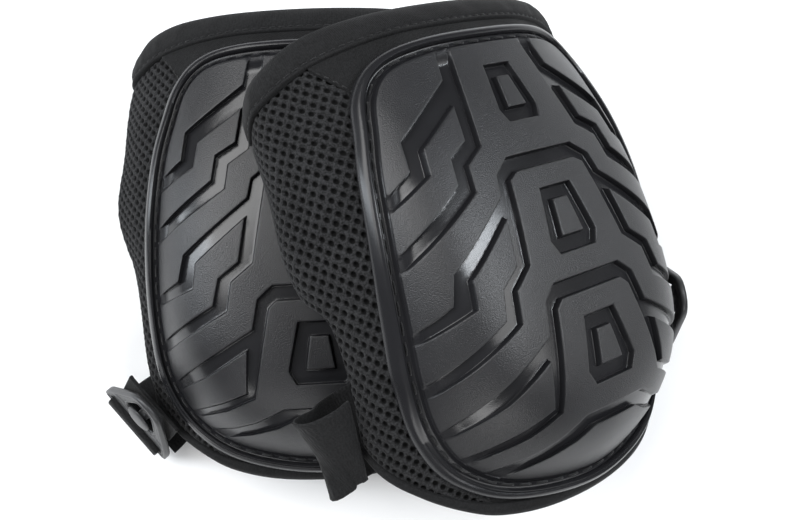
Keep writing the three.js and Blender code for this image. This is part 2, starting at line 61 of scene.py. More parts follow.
# ---- the body of a pad: half profiles [x, z] from the centre line to the hem ----
STATIONS = [
    (119, [(0, -27), (32, -29.5), (56, -36), (71, -44), (80, -53), (84, -66), (80, -84)]),
    (95, [(0, -17.5), (30, -20), (52, -28.5), (68, -38), (80, -48), (87.5, -62), (81, -84)]),
    (60, [(0, -16), (35, -18), (63, -25.5), (76, -33), (86, -44), (92, -60), (82, -84)]),
    (30, [(0, -16), (38, -18), (69, -26), (81, -34), (90, -45), (95.5, -60), (82, -84)]),
    (0, [(0, -17), (40, -19.5), (71.5, -29.5), (80.5, -37), (86, -46), (89, -60), (82, -84)]),
    (-20, [(0, -18), (40, -22), (71.5, -33.5), (80, -41), (84.5, -49), (86, -62), (81, -84)]),
    (-50, [(0, -23), (40, -29), (67.5, -41), (77, -47.5), (82.5, -54.5), (84.5, -65), (79, -84)]),
    (-75, [(0, -31), (30, -36), (52, -43.5), (64, -50), (73, -58), (78, -69), (75, -84)]),
    (-104, [(0, -42), (24, -44), (42, -49), (54, -55), (63, -62), (69, -73), (68, -84)]),
]
CAP_HALF = [(0, 92.5), (28, 92), (46, 89), (55.5, 80), (61, 65), (66, 47), (70, 20),
            (71.8, -8), (71.5, -30), (68, -51), (57, -70), (36, -83), (0, -89)]
GEL_HALF = (36, 50)
GEL_Y, GEL_Z = 2, -25.5   # middle of the gel's upper face
SHELL_THICKNESS = 3.2
TOP_TAPE = 12.0
LOW_TAPE = 5.0
HALF_GIRTH = 140.0   # about how much cloth lies between u = 0 and u = 1
STRAP_WIDTH = 38.0
STRAP_THICKNESS = 1.8
STRAP_STEPS = 150
# along a strap from its clip: where its sewn end stops, and a point further along it
SEWN_LENGTH = 24.0
PIVOT_LENGTH = 54.0


def smooth(low, high, value):
    """0 at low, 1 at high, with no kink at either."""
    t = np.clip((value - low) / (high - low), 0, 1)
    return t * t * (3 - 2 * t)


def spline(points, t, closed=False):
    """Catmull-Rom curve with evenly spaced knots; t runs 0 to 1."""
    points = np.asarray(points, float)
    count = len(points)
    spans = count if closed else count - 1
    f = np.clip(np.asarray(t, float), 0, 1) * spans
    i = np.minimum(f.astype(int), spans - 1)
    w = (f - i)[:, None]
    if closed:
        p0, p1, p2, p3 = (points[(i + k) % count] for k in (-1, 0, 1, 2))
    else:
        wide = np.vstack([2 * points[:1] - points[1:2], points, 2 * points[-1:] - points[-2:-1]])
        p0, p1, p2, p3 = (wide[i + k] for k in (0, 1, 2, 3))
    v0, v1 = (p2 - p0) / 2, (p3 - p1) / 2
    return hermite(p1, p2, v0, v1, w)


def hermite(p1, p2, v0, v1, w):
    return (p1 * (1 - w * w * (3 - 2 * w)) + p2 * w * w * (3 - 2 * w)
            + v0 * w * (1 - w) ** 2 - v1 * w * w * (1 - w))


# ---- the body as a table: rows every millimetre along y, columns across u ----
ROW_Y = np.arange(-112.0, 126.0, 1.0)
HALF_COLUMNS = 400
COLUMN_U = np.linspace(-1, 1, 2 * HALF_COLUMNS + 1)


def body_table():
    ys = np.array([y for y, _ in STATIONS], float)
    curves = []
    for _, half in STATIONS:
        whole = [(-x, z) for x, z in half[:0:-1]] + list(half)
        curves.append(spline(whole, (COLUMN_U + 1) / 2))
    curves = np.array(curves)
    last = len(ys) - 1
    slope = np.array([(curves[min(last, k + 1)] - curves[max(0, k - 1)])
                      / (ys[min(last, k + 1)] - ys[max(0, k - 1)]) for k in range(last + 1)])
    rows = []
    for y in ROW_Y:
        i = int(np.clip(np.searchsorted(-ys, -y, side="right") - 1, 0, last - 1))
        span = ys[i + 1] - ys[i]
        w = np.clip((y - ys[i]) / span, 0, 1)
        rows.append(hermite(curves[i], curves[i + 1], span * slope[i], span * slope[i + 1], w))
    return np.array(rows)


TABLE = body_table()
ARC = np.concatenate([np.zeros((len(ROW_Y), 1)),
                      np.cumsum(np.hypot(*np.moveaxis(np.diff(TABLE, axis=1), 2, 0)), axis=1)], axis=1)
ARC -= ARC[:, HALF_COLUMNS:HALF_COLUMNS + 1]


def look_up(u, y):
    """Point of the body, in the plane of its profile."""
    fu = np.clip((np.asarray(u) + 1) * HALF_COLUMNS, 0, 2 * HALF_COLUMNS - 0.001)
    fy = np.clip(np.asarray(y) - ROW_Y[0], 0, len(ROW_Y) - 1.001)
    i, j = fu.astype(int), fy.astype(int)
    a, b = (fu - i)[..., None], (fy - j)[..., None]
    return ((TABLE[j, i] * (1 - a) + TABLE[j, i + 1] * a) * (1 - b)
            + (TABLE[j + 1, i] * (1 - a) + TABLE[j + 1, i + 1] * a) * b)


def skin(u, y, height=0.0):
    """Points at a height off the body's outer face; negative is towards the knee."""
    u, y = np.broadcast_arrays(np.asarray(u, float), np.asarray(y, float))
    here = look_up(u, y)
    du, dy = 0.006, 1.5
    along_u = look_up(np.minimum(u + du, 1), y) - look_up(np.maximum(u - du, -1), y)
    along_y = (look_up(u, y + dy) - look_up(u, y - dy)) / (2 * dy)
    a = np.stack([along_u[..., 0], np.zeros_like(u), along_u[..., 1]], -1)
    b = np.stack([along_y[..., 0], np.ones_like(u), along_y[..., 1]], -1)
    point = np.stack([here[..., 0], y, here[..., 1]], -1)
    return point + unit(np.cross(a, b)) * np.asarray(height)[..., None]


def by_row(table, targets, values, y):
    """For each (value, y), the column value of `targets` where `table` reaches `value`."""
    fy = np.clip(y - ROW_Y[0], 0, len(ROW_Y) - 1.001)
    j = fy.astype(int)
    out = np.zeros(len(y))
    for row in np.unique(j):
        at = j == row
        low = np.interp(values[at], table[row], targets[row])
        high = np.interp(values[at], table[row + 1], targets[row + 1])
        out[at] = low + (high - low) * (fy[at] - row)
    return out


U_ROWS = np.repeat(COLUMN_U[None], len(ROW_Y), 0)
# the columns of one half whose x still grows outwards
FLAT_COLUMNS = slice(HALF_COLUMNS, 690)


def u_from_arc(arc, y):
    return by_row(ARC, U_ROWS, np.asarray(arc, float), np.asarray(y, float))


def arc_from_u(u, y):
    return by_row(U_ROWS, ARC, np.asarray(u, float), np.asarray(y, float))


def cloth_z(x, y):
    """Height of the pad's outer face over (x, y)."""
    x, y = np.broadcast_arrays(np.abs(np.asarray(x, float)), np.asarray(y, float))
    found = by_row(TABLE[:, FLAT_COLUMNS, 0], TABLE[:, FLAT_COLUMNS, 1], x.ravel(), y.ravel())
    return found.reshape(x.shape)


def lining_depth(u, y):
    """The padding is thick behind the cap and thin towards the hems and the taped edges."""
    middle, wing, taped = 17.0, 6.0, 7.0
    depth = middle + (wing - middle) * smooth(0.02, 0.37, np.abs(u))
    near_tape = smooth(28, 4, thigh_edge(u) - y) + smooth(26, 3, y - shin_edge(u))
    return depth + (np.minimum(depth, taped) - depth) * np.clip(near_tape, 0, 1)


def thigh_edge(u):
    return 118 - 22 * np.abs(u) ** 2.5


def shin_edge(u):
    return -101 + 55 * np.asarray(u, float) ** 2


# ---- turning points and faces into pieces ----
def unit(vectors):
    return vectors / np.maximum(np.linalg.norm(vectors, axis=-1, keepdims=True), 1e-9)


def run_along(line):
    """Distance along a line of points, from its start to each of them."""
    return np.concatenate([[0], np.cumsum(np.linalg.norm(np.diff(line, axis=0), axis=1))])


def grid_faces(rows, columns, closed_columns=False, closed_rows=False, start=0):
    i, j = np.meshgrid(np.arange(rows if closed_rows else rows - 1),
                       np.arange(columns if closed_columns else columns - 1), indexing="ij")
    i, j = i.ravel(), j.ravel()
    at = lambda a, b: start + (a % rows) * columns + (b % columns)
    return np.stack([at(i, j), at(i, j + 1), at(i + 1, j + 1), at(i + 1, j)], 1).tolist()


def join_parts(parts):
    """Several (points, faces, values, uv) joined into one."""
    points, faces, values, uv, shift = [], [], [], [], 0
    for p, f, v, t in parts:
        p = np.asarray(p, float).reshape(-1, 3)
        points.append(p)
        faces += [[q + shift for q in face] for face in f]
        values.append(np.broadcast_to(np.asarray(v, float), len(p)))
        uv.append(np.asarray(t, float).reshape(-1, 2) if t is not None else np.zeros((len(p), 2)))
        shift += len(p)
    return np.vstack(points), faces, np.concatenate(values), np.vstack(uv)


def orient(points, faces):
    """Faces turned outwards, for a closed body or a sheet facing up."""
    p = np.asarray(points)
    volume = 0.0
    for f in faces:
        for k in range(1, len(f) - 1):
            volume += np.dot(p[f[0]], np.cross(p[f[k]], p[f[k + 1]]))
    return [f[::-1] for f in faces] if volume < 0 else faces


def slab(top, bottom, uv):
    """A closed sheet of two grids of points, joined round their rims."""
    rows, columns = top.shape[:2]
    n = rows * columns
    faces = grid_faces(rows, columns)
    faces += [[q + n for q in f[::-1]] for f in faces]
    rim = list(range(columns)) + [r * columns + columns - 1 for r in range(1, rows)]
    rim += [n - 1 - q for q in range(1, columns)] + [r * columns for r in range(rows - 2, 0, -1)]
    faces += [[b, a, a + n, b + n] for a, b in zip(rim, rim[1:] + rim[:1])]
    points = np.vstack([top.reshape(-1, 3), bottom.reshape(-1, 3)])
    return points, orient(points, faces), np.zeros(len(points)), np.vstack([uv.reshape(-1, 2)] * 2)


def stack(loops, first, last):
    """A closed body of loops, one after another, with a point in the middle of each end."""
    count = len(loops[0])
    points = np.vstack(list(loops) + [[first, last]])
    faces = grid_faces(len(loops), count, closed_columns=True)
    base = (len(loops) - 1) * count
    for i in range(count):
        j = (i + 1) % count
        faces.append([len(points) - 2, j, i])
        faces.append([len(points) - 1, base + i, base + j])
    return points, orient(points, faces), np.zeros(len(points)), points[:, :2]


def sweep(path, across, up, section, closed=False, caps=True):
    """A section of (across, up) points carried along a path; returns points, faces and uv."""
    path, across, up = (np.asarray(a, float) for a in (path, across, up))
    section = np.asarray(section, float)
    points = (path[:, None] + across[:, None] * section[None, :, :1] + up[:, None] * section[None, :, 1:])
    faces = grid_faces(len(path), len(section), closed_columns=True, closed_rows=closed)
    if caps and not closed:
        n = len(section)
        faces.append(list(range(n))[::-1])
        faces.append([(len(path) - 1) * n + k for k in range(n)])
    uv = np.stack(np.broadcast_arrays(run_along(section)[None, :], run_along(path)[:, None]), -1)
    return points.reshape(-1, 3), faces, uv.reshape(-1, 2)


def smooth_path(points, count):
    """Evenly spaced points on a Catmull-Rom curve, with its tangents."""
    fine = spline(points, np.linspace(0, 1, 800))
    run = run_along(fine)
    at = np.linspace(0, run[-1], count)
    path = np.stack([np.interp(at, run, fine[:, k]) for k in range(3)], 1)
    return path, unit(np.gradient(path, axis=0))


# ---- materials ----
class Graph:
    """A node material and short ways to add nodes to it."""

    def __init__(self, name):
        self.material = bpy.data.materials.new(name)
        self.material.use_nodes = True
        self.nodes, self.links = self.material.node_tree.nodes, self.material.node_tree.links
        self.shader = self.nodes["Principled BSDF"]

    def set(self, name, value):
        """Gives one of the shader's inputs a number, a colour or another node's output."""
        if isinstance(value, bpy.types.NodeSocket):
            self.links.new(value, self.shader.inputs[name])
        else:
            self.shader.inputs[name].default_value = value

    def math(self, kind, *values):
        node = self.nodes.new("ShaderNodeMath")
        node.operation = kind
        for socket, value in zip(node.inputs, values):
            if isinstance(value, (int, float)):
                socket.default_value = value
            else:
                self.links.new(value, socket)
        return node.outputs[0]

    def noise(self, scale, detail):
        node = self.nodes.new("ShaderNodeTexNoise")
        node.inputs["Scale"].default_value = scale
        node.inputs["Detail"].default_value = detail
        self.links.new(self.nodes.new("ShaderNodeTexCoord").outputs["Object"], node.inputs["Vector"])
        return node.outputs["Fac"]

    def mark(self):
        """The number that the mesh holds at each vertex."""
        node = self.nodes.new("ShaderNodeAttribute")
        node.attribute_name = "mark"
        return node.outputs["Fac"]

    def bump(self, height, strength, distance):
        node = self.nodes.new("ShaderNodeBump")
        node.inputs["Strength"].default_value = strength
        node.inputs["Distance"].default_value = distance
        self.links.new(height, node.inputs["Height"])
        self.set("Normal", node.outputs[0])

    def tint(self, factor, low, high, low_at, high_at, blue=1.06):
        """The base colour: greys from low to high, a little blue."""
        node = self.nodes.new("ShaderNodeValToRGB")
        for element, at, value in zip(node.color_ramp.elements, (low_at, high_at), (low, high)):
            element.position = at
            element.color = (value, value, value * blue, 1)
        self.links.new(factor, node.inputs[0])
        self.set("Base Color", node.outputs[0])


def cap_material():
    """Moulded plastic: fine satin grain on the lands, a glossier finish in the groove floors."""
    graph = Graph("cap_plastic")
    depth = graph.mark()
    grain = graph.noise(2100, 2)
    cloud = graph.noise(28, 4)
    graph.tint(cloud, 0.009, 0.014, 0.3, 0.7, blue=1.12)
    rough = graph.math("MULTIPLY_ADD", depth, -0.15, 0.33)
    graph.set("Roughness", graph.math("ADD", rough, graph.math("MULTIPLY", cloud, 0.08)))
    # the steep walls, halfway between land and floor, reflect less: painted shade on the groove walls
    wall_shade = graph.math("MULTIPLY", depth, graph.math("SUBTRACT", 1.0, depth))
    graph.set("Specular IOR Level", graph.math("MULTIPLY_ADD", wall_shade, -1.6, 0.5))
    satin = graph.math("MULTIPLY_ADD", depth, -0.9, 1.0)
    graph.bump(graph.math("MULTIPLY", grain, satin), 0.75, 0.00024)
    return graph.material


def plastic_material(name, value, roughness):
    graph = Graph(name)
    cloud = graph.noise(60, 3)
    graph.tint(cloud, value, value * 1.5, 0.35, 0.7)
    graph.set("Roughness", graph.math("MULTIPLY_ADD", cloud, 0.15, roughness))
    graph.bump(graph.noise(1800, 3), 0.25, 0.0001)
    return graph.material


def fabric_material(name, value, weave, bump, sheen=0.25, hole_shade=0.0):
    """Cloth whose threads follow the piece's own UV map, which is in millimetres."""
    graph = Graph(name)
    split = graph.nodes.new("ShaderNodeSeparateXYZ")
    graph.links.new(graph.nodes.new("ShaderNodeUVMap").outputs[0], split.inputs[0])
    threads = 1.0
    for axis, pitch in weave:
        wave = graph.math("SINE", graph.math("MULTIPLY", split.outputs[axis], 2 * math.pi / pitch))
        threads = graph.math("MULTIPLY", wave, threads)
    shade = graph.math("MULTIPLY_ADD", threads, 0.16, -1.0)
    fibres = graph.math("MULTIPLY_ADD", graph.noise(1300, 2), 2.4, shade)
    tone = graph.math("MULTIPLY_ADD", graph.noise(45, 4), 0.6, fibres)
    # painted shade: the colour darkens towards the bottom of each hole of the spacer mesh
    if hole_shade:
        tone = graph.math("MULTIPLY_ADD", graph.mark(), -hole_shade, tone)
    graph.tint(tone, value * (0.08 if hole_shade else 0.35), value * 1.7, 0.05, 0.95)
    graph.set("Roughness", 0.85)
    graph.set("Specular IOR Level", 0.25)
    graph.set("Sheen Weight", sheen)
    graph.set("Sheen Roughness", 0.45)
    graph.bump(graph.math("MULTIPLY_ADD", threads, 0.35, graph.noise(1500, 4)), bump, 0.0004)
    return graph.material


CAP = cap_material()
CLIP = plastic_material("clip_plastic", 0.02, 0.34)
MESH = fabric_material("spacer_mesh", 0.017, [(0, 0.55), (1, 0.55)], 0.6, 0.04, hole_shade=1.0)
WOVEN = fabric_material("woven_cloth", 0.0055, [(0, 1.1), (1, 1.1)], 0.6, 0.03)
TAPE = fabric_material("binding_tape", 0.0065, [(0, 0.8)], 0.35, 0.04)
WEBBING = fabric_material("elastic_webbing", 0.0065, [(1, 1.3), (0, 9.0)], 0.6, 0.04)
KNIT = fabric_material("lining_knit", 0.010, [(0, 0.8), (1, 1.2)], 0.4, 0.1)
FOAM = fabric_material("pad_foam", 0.045, [(0, 3.1), (1, 2.9)], 0.3, 0.1)
THREAD = fabric_material("sewing_thread", 0.012, [(1, 0.5)], 0.3, 0.2)
GEL = plastic_material("gel", 0.05, 0.15)

# ---- the cap's tread: lands as half outlines; grooves are what lies between them ----
SIDE, TOP = 80, 97
LANDS = {
    "shoulder": [(27, TOP), (27, 90), (29.2, 79.5), (56.2, 59.8), (58.2, 47), (66, 41.5), (SIDE, 35),
                 (SIDE, TOP)],
    "upper_wedge": [(30.3, 68), (50.2, 54), (52.2, 43), (66, 35), (SIDE, 28), (SIDE, 12), (69, 18.5),
                    (44.2, 36.2), (42.2, 47.5), (33, 52.8)],
    "top_centre": [(-30, TOP), (19.6, TOP), (19.6, 90), (27, 49.3), (36.3, 43), (38, 32), (69, 11.5),
                   (SIDE, 5), (SIDE, -16), (61, -7), (58, 4.4), (28.4, 27.6), (26.5, 36), (18.5, 42.2),
                   (-30, 42.2)],
    "side_wedge": [(30, 18.5), (52.3, 0.2), (53.7, -11), (70, -16.5), (SIDE, -20), (SIDE, -37.5), (71, -32.5),
                   (45.3, -18.6), (42.5, -7), (33.4, -0.2)],
    "middle": [(-30, 35.5), (16.3, 35.5), (20.7, 32.9), (27, -1.2), (36.8, -9), (39, -21.6), (71, -38.5),
               (SIDE, -43), (SIDE, -58.5), (71, -53.5), (28.6, -29.7), (25.9, -16.8), (19.1, -10.9),
               (-30, -10.9)],
    "low_wedge": [(31.5, -38.8), (50, -49.5), (71, -58), (SIDE, -61.5), (SIDE, -69.5), (67, -66), (56, -64),
                  (44, -61), (33, -57.2)],
    "low_centre": [(-30, -17.8), (17.5, -17.8), (21, -21), (29, -59.8), (42, -65), (56, -68), (SIDE, -73),
                   (SIDE, -80), (55, -74.2), (40, -73), (30, -70.5), (17, -64.8), (-30, -64.8)],
    "shin": [(-30, -70.3), (12.4, -70.3), (20, -73.8), (33, -77), (48, -79), (SIDE, -82), (SIDE, -99),
             (-30, -99)],
}
# Each recessed ring: top, bottom, half width at the top, at the widest and at the bottom,
# and the small block inside it: top, bottom, half widths.
RINGS = [
    (82.5, 56.0, 7.2, 10.6, 8.2, 76.5, 62.5, 3.2, 4.9),
    (26.6, -1.2, 8.8, 13.2, 10.4, 20.8, 5.6, 3.9, 6.0),
    (-27.2, -54.6, 9.0, 14.0, 10.8, -33.8, -47.8, 3.9, 6.1),
]
GROOVE_DEPTH = 3.1
# How the surface drops from a land's edge to the groove floor: (distance past the edge, share).
WALL_PROFILE = [(-0.8, 0.0), (-0.3, 0.0), (-0.05, 0.04), (0.1, 0.13), (0.65, 0.96), (0.85, 1.0)]


def signed_distance(x, y, outline):
    """Distance to a closed outline, negative inside it."""
    points = np.asarray(outline, float)
    best = np.full(x.shape, 1e9)
    inside = np.zeros(x.shape, bool)
    for (ax, ay), (bx, by) in zip(points, np.roll(points, -1, 0)):
        ex, ey = bx - ax, by - ay
        t = np.clip(((x - ax) * ex + (y - ay) * ey) / (ex * ex + ey * ey), 0, 1)
        best = np.minimum(best, np.hypot(x - ax - t * ex, y - ay - t * ey))
        if ay != by:
            crosses = (ay > y) != (by > y)
            inside ^= crosses & (x < ex * (y - ay) / (by - ay) + ax)
    return np.where(inside, -best, best)


def ring_outlines():
    """Each motif's outer outline and the block inside it."""
    for top, bottom, w_top, w_wide, w_bottom, in_top, in_bottom, in_w_top, in_w_bottom in RINGS:
        ring = [(-w_top, top), (w_top, top), (w_wide, bottom + 6), (w_bottom, bottom),
                (-w_bottom, bottom), (-w_wide, bottom + 6)]
        block = [(-in_w_top, in_top), (in_w_top, in_top), (in_w_bottom, in_bottom), (-in_w_bottom, in_bottom)]
        yield ring, block


def past_edge(x, y):
    """How far a point lies past the nearest land's edge; negative on the lands."""
    x = np.abs(x)
    away = np.full(x.shape, 1e9)
    for outline in LANDS.values():
        away = np.minimum(away, signed_distance(x, y, outline))
    for ring, block in ring_outlines():
        away = np.maximum(away, np.minimum(-signed_distance(x, y, ring), signed_distance(x, y, block)))
    return away


def groove_share(x, y):
    """0 on the lands, 1 on the groove floors, between them on the walls."""
    return np.interp(past_edge(x, y), *np.array(WALL_PROFILE).T)


def offset_outline(outline, distance, step=1.5):
    """The outline moved outwards, with points every few millimetres."""
    p = np.asarray(outline, float)
    area = np.sum(p[:, 0] * np.roll(p[:, 1], -1) - np.roll(p[:, 0], -1) * p[:, 1])
    if area < 0:
        p = p[::-1]
    edge = np.roll(p, -1, 0) - p
    normal = unit(np.stack([edge[:, 1], -edge[:, 0]], 1))
    before = np.roll(normal, 1, 0)
    corner = p + (normal + before) / (1 + np.sum(normal * before, axis=1, keepdims=True)) * distance
    made = []
    for a, b in zip(corner, np.roll(corner, -1, 0)):
        parts = max(1, int(np.linalg.norm(b - a) / step))
        made += [a + (b - a) * k / parts for k in range(parts)]
    return np.array(made)


def tread_lines():
    """Line pieces along every land's edge, top and foot, for both halves."""
    for distance, _ in WALL_PROFILE:
        for outline in LANDS.values():
            line = offset_outline(outline, distance)
            for a, b in zip(line, np.roll(line, -1, 0)):
                if a[0] <= 0 and b[0] <= 0:
                    continue
                if a[0] < 0:
                    a = b + (a - b) * b[0] / (b[0] - a[0])
                if b[0] < 0:
                    b = a + (b - a) * a[0] / (a[0] - b[0])
                yield a, b
                yield a * (-1, 1), b * (-1, 1)
        for ring, block in ring_outlines():
            for line in (offset_outline(ring, -distance), offset_outline(block, distance)):
                yield from zip(line, np.roll(line, -1, 0))


def cap_outline(count, distance=0.0):
    """The foot of the dome in plan, moved outwards by a distance."""
    whole = CAP_HALF + [(-x, y) for x, y in CAP_HALF[-2:0:-1]]
    t = np.arange(count) / count
    here = spline(whole, t, closed=True)
    ahead = spline(whole, (t + 1e-3) % 1, closed=True)
    behind = spline(whole, (t - 1e-3) % 1, closed=True)
    tangent = unit(ahead - behind)
    outward = np.stack([-tangent[:, 1], tangent[:, 0]], 1)
    return here + outward * distance


DOME_POWER = 5.7   # how late the dome rolls over to its foot
FOOT_HEIGHT = 5.1   # of the dome's foot, above the cloth


def crown(x, y):
    """Height of the cap's smooth top."""
    a, b = x / 70, y / 90
    return -(3.7 * a * a + 9.8 * b * b + 4.4 * b**3 + 7.9 * a * a * b)


def dome(foot, foot_z, r):
    """Points of the smooth dome at a fraction r of the way out to its foot."""
    x, y = foot[:, 0] * r, foot[:, 1] * r
    roll = (foot_z - crown(foot[:, 0], foot[:, 1])) * r**DOME_POWER
    return np.stack([x, y, crown(x, y) + roll], 1)


def dome_at(x, y, foot, foot_z):
    """The smooth dome's height over (x, y), and how far out to its foot that is."""
    turn = np.arctan2(y, x)
    at = np.arctan2(foot[:, 1], foot[:, 0])
    reach = np.interp(turn, at, np.hypot(foot[:, 0], foot[:, 1]), period=2 * math.pi)
    low = np.interp(turn, at, foot_z, period=2 * math.pi)
    r = np.hypot(x, y) / reach
    return crown(x, y) + (low - crown(reach * np.cos(turn), reach * np.sin(turn))) * r**DOME_POWER, r


AROUND = 660
# the flange, out from the dome's foot: (distance, height above the cloth); channel, then bead
RIM_SECTION = [(0.45, 4.7), (0.8, 3.9), (1.0, 2.9), (1.5, 2.5), (2.8, 2.45), (3.4, 2.8), (3.7, 3.8),
               (4.1, 5.0), (4.8, 5.8), (5.6, 6.0), (6.4, 5.85), (7.1, 5.3), (7.7, 4.4), (8.0, 3.2),
               (7.9, 2.2), (7.2, 1.7)]


def rim_height(distance, height, y):
    """The bead carries a shallow groove round the shin end."""
    dip = 1.1 * smooth(-35, -62, y) * math.exp(-((distance - 5.7) / 0.55) ** 2)
    return height - dip


def build_cap_face(foot, foot_z):
    """The dome with its tread: triangles that follow every land's edge."""
    plan = [tuple(p) for p in foot]
    links = [(k, (k + 1) % AROUND) for k in range(AROUND)]
    inner = []
    for r in np.concatenate([np.linspace(0.03, 0.9, 40), np.linspace(0.92, 0.992, 9)]):
        count = max(8, int(AROUND * min(1, r * 1.05 if r < 0.9 else 1)))
        inner.append(cap_outline(count) * r)
    inner = np.vstack(inner)
    away = past_edge(inner[:, 0], inner[:, 1])
    inner = inner[(away < WALL_PROFILE[0][0] - 0.4) | (away > WALL_PROFILE[-1][0] + 0.4)]
    plan += [tuple(p) for p in inner]
    lines = np.array([(a[0], a[1], b[0], b[1]) for a, b in tread_lines()])
    near_a = dome_at(lines[:, 0], lines[:, 1], foot, foot_z)[1]
    near_b = dome_at(lines[:, 2], lines[:, 3], foot, foot_z)[1]
    for ax, ay, bx, by in lines[(near_a < 0.99) & (near_b < 0.99)]:
        links.append((len(plan), len(plan) + 1))
        plan += [(ax, ay), (bx, by)]
    found, _, triangles, origins, *_ = delaunay_2d_cdt([Vector(p) for p in plan], links, [], 1, 1e-4)
    flat = np.array([[p.x, p.y] for p in found])
    rim = [0] * AROUND
    for index, sources in enumerate(origins):
        for source in sources:
            if source < AROUND:
                rim[source] = index
    height, r = dome_at(flat[:, 0], flat[:, 1], foot, foot_z)
    share = groove_share(flat[:, 0], flat[:, 1]) * (1 - 0.75 * smooth(0.93, 1.0, r))
    height = height - GROOVE_DEPTH * share
    return np.column_stack([flat, height]), [list(t) for t in triangles], share, rim


def build_cap():
    foot = cap_outline(AROUND)
    foot_z = cloth_z(foot[:, 0], foot[:, 1]) + FOOT_HEIGHT
    face, triangles, share, rim = build_cap_face(foot, foot_z)
    loops, marks = [], []
    for distance, height in RIM_SECTION:
        flat = cap_outline(AROUND, distance)
        z = cloth_z(flat[:, 0], flat[:, 1]) + rim_height(distance, height, flat[:, 1])
        loops.append(np.column_stack([flat, z]))
        marks.append(np.full(AROUND, 0.75 if 1 < distance < 3.3 else 0.9))
    under = 0.96
    for r in (0.985, 0.9, 0.75, 0.5, 0.25):
        loop = dome(foot, foot_z, r) * [under, under, 1] - [0, 0, SHELL_THICKNESS + 1.2]
        loops.append(loop)
        marks.append(np.zeros(AROUND))
    start = len(face)
    points = np.vstack([face, np.vstack(loops), [[0, 0, -SHELL_THICKNESS - 1.2]]])
    faces = triangles + grid_faces(len(loops), AROUND, closed_columns=True, start=start)
    last, base = len(points) - 1, start + (len(loops) - 1) * AROUND
    for i in range(AROUND):
        j = (i + 1) % AROUND
        faces.append([rim[i], rim[j], start + j, start + i])
        faces.append([last, base + i, base + j])
    values = np.concatenate([share, np.concatenate(marks), [0]])
    return points, faces, values, foot, foot_z


# ---- stitches ----
def stitch_row(path, normal, pitch, length, radius):
    """A row of short rounded stitches on a line of points."""
    path, normal = np.asarray(path, float), np.asarray(normal, float)
    run = run_along(path)
    parts = []
    for start in np.arange(0.5, run[-1] - length, pitch):
        at = start + length * np.linspace(0, 1, 5)
        line = np.stack([np.interp(at, run, path[:, k]) for k in range(3)], 1)
        up = np.stack([np.interp(at, run, normal[:, k]) for k in range(3)], 1)
        dip = np.array([-0.9, 0.3, 0.6, 0.3, -0.9]) * radius
        line = line + up * dip[:, None]
        across = unit(np.cross(np.gradient(line, axis=0), up))
        angle = np.arange(6) * math.pi / 3
        section = np.stack([np.cos(angle), np.sin(angle)], 1) * radius
        p, f, t = sweep(line, across, up, section)
        parts.append((p, f, 0, t))
    return parts


# ---- the wings: spacer mesh with real holes, folded over at the hem ----
# the hem's place u along y: full above the notch, cut higher below it
HEM = [(100, 0.995), (38, 0.995), (22, 0.992), (17, 0.972), (13, 0.925), (9.5, 0.85), (6, 0.81), (0, 0.8),
       (-8, 0.805), (-20, 0.825), (-32, 0.85), (-40, 0.885), (-47, 0.915), (-60, 0.92)]


def hem_u(y):
    """Where the wing ends."""
    table = np.array(HEM[::-1])
    return np.interp(y, table[:, 0], table[:, 1])


def start_u(y):
    """Where the wing comes out from under the cap's flange."""
    return np.interp(y, [-80, -66, -50, -20, 84], [0.3, 0.345, 0.36, 0.365, 0.365])


def wing_top(u):
    seam = np.interp(u, [0.365, 0.52], [82.5, 100.2])
    return np.where(u < 0.52, seam, thigh_edge(u) - TOP_TAPE - 0.2)


def wing_bottom(u):
    return np.maximum(shin_edge(u) + LOW_TAPE, -89.0)


def puff(arc, u, y):
    """Height of the padded wing: pulled in at its seams, full between them, a little uneven."""
    near = np.minimum(wing_top(u) - y, y - wing_bottom(u))
    side = np.minimum(near, (hem_u(y) - u) * HALF_GIRTH)
    pull = -1.5 * np.exp(-np.maximum(side, 0) / 3.0)
    waves = 0.35 * np.sin(arc * 0.11 + 1.3) * np.sin(y * 0.075 + 0.4) + 0.2 * np.sin(arc * 0.05 - y * 0.13)
    return pull + waves + 0.4


# the spacer mesh: distance between holes, the two ways its rows run, and a hole's half sizes
PITCH = 3.93
ROWS = [PITCH * np.array([math.cos(t), math.sin(t)]) for t in (math.radians(-140), math.radians(-56))]
HOLE = (1.4, 1.18)
FOLD = 2.2   # radius of the hem's fold


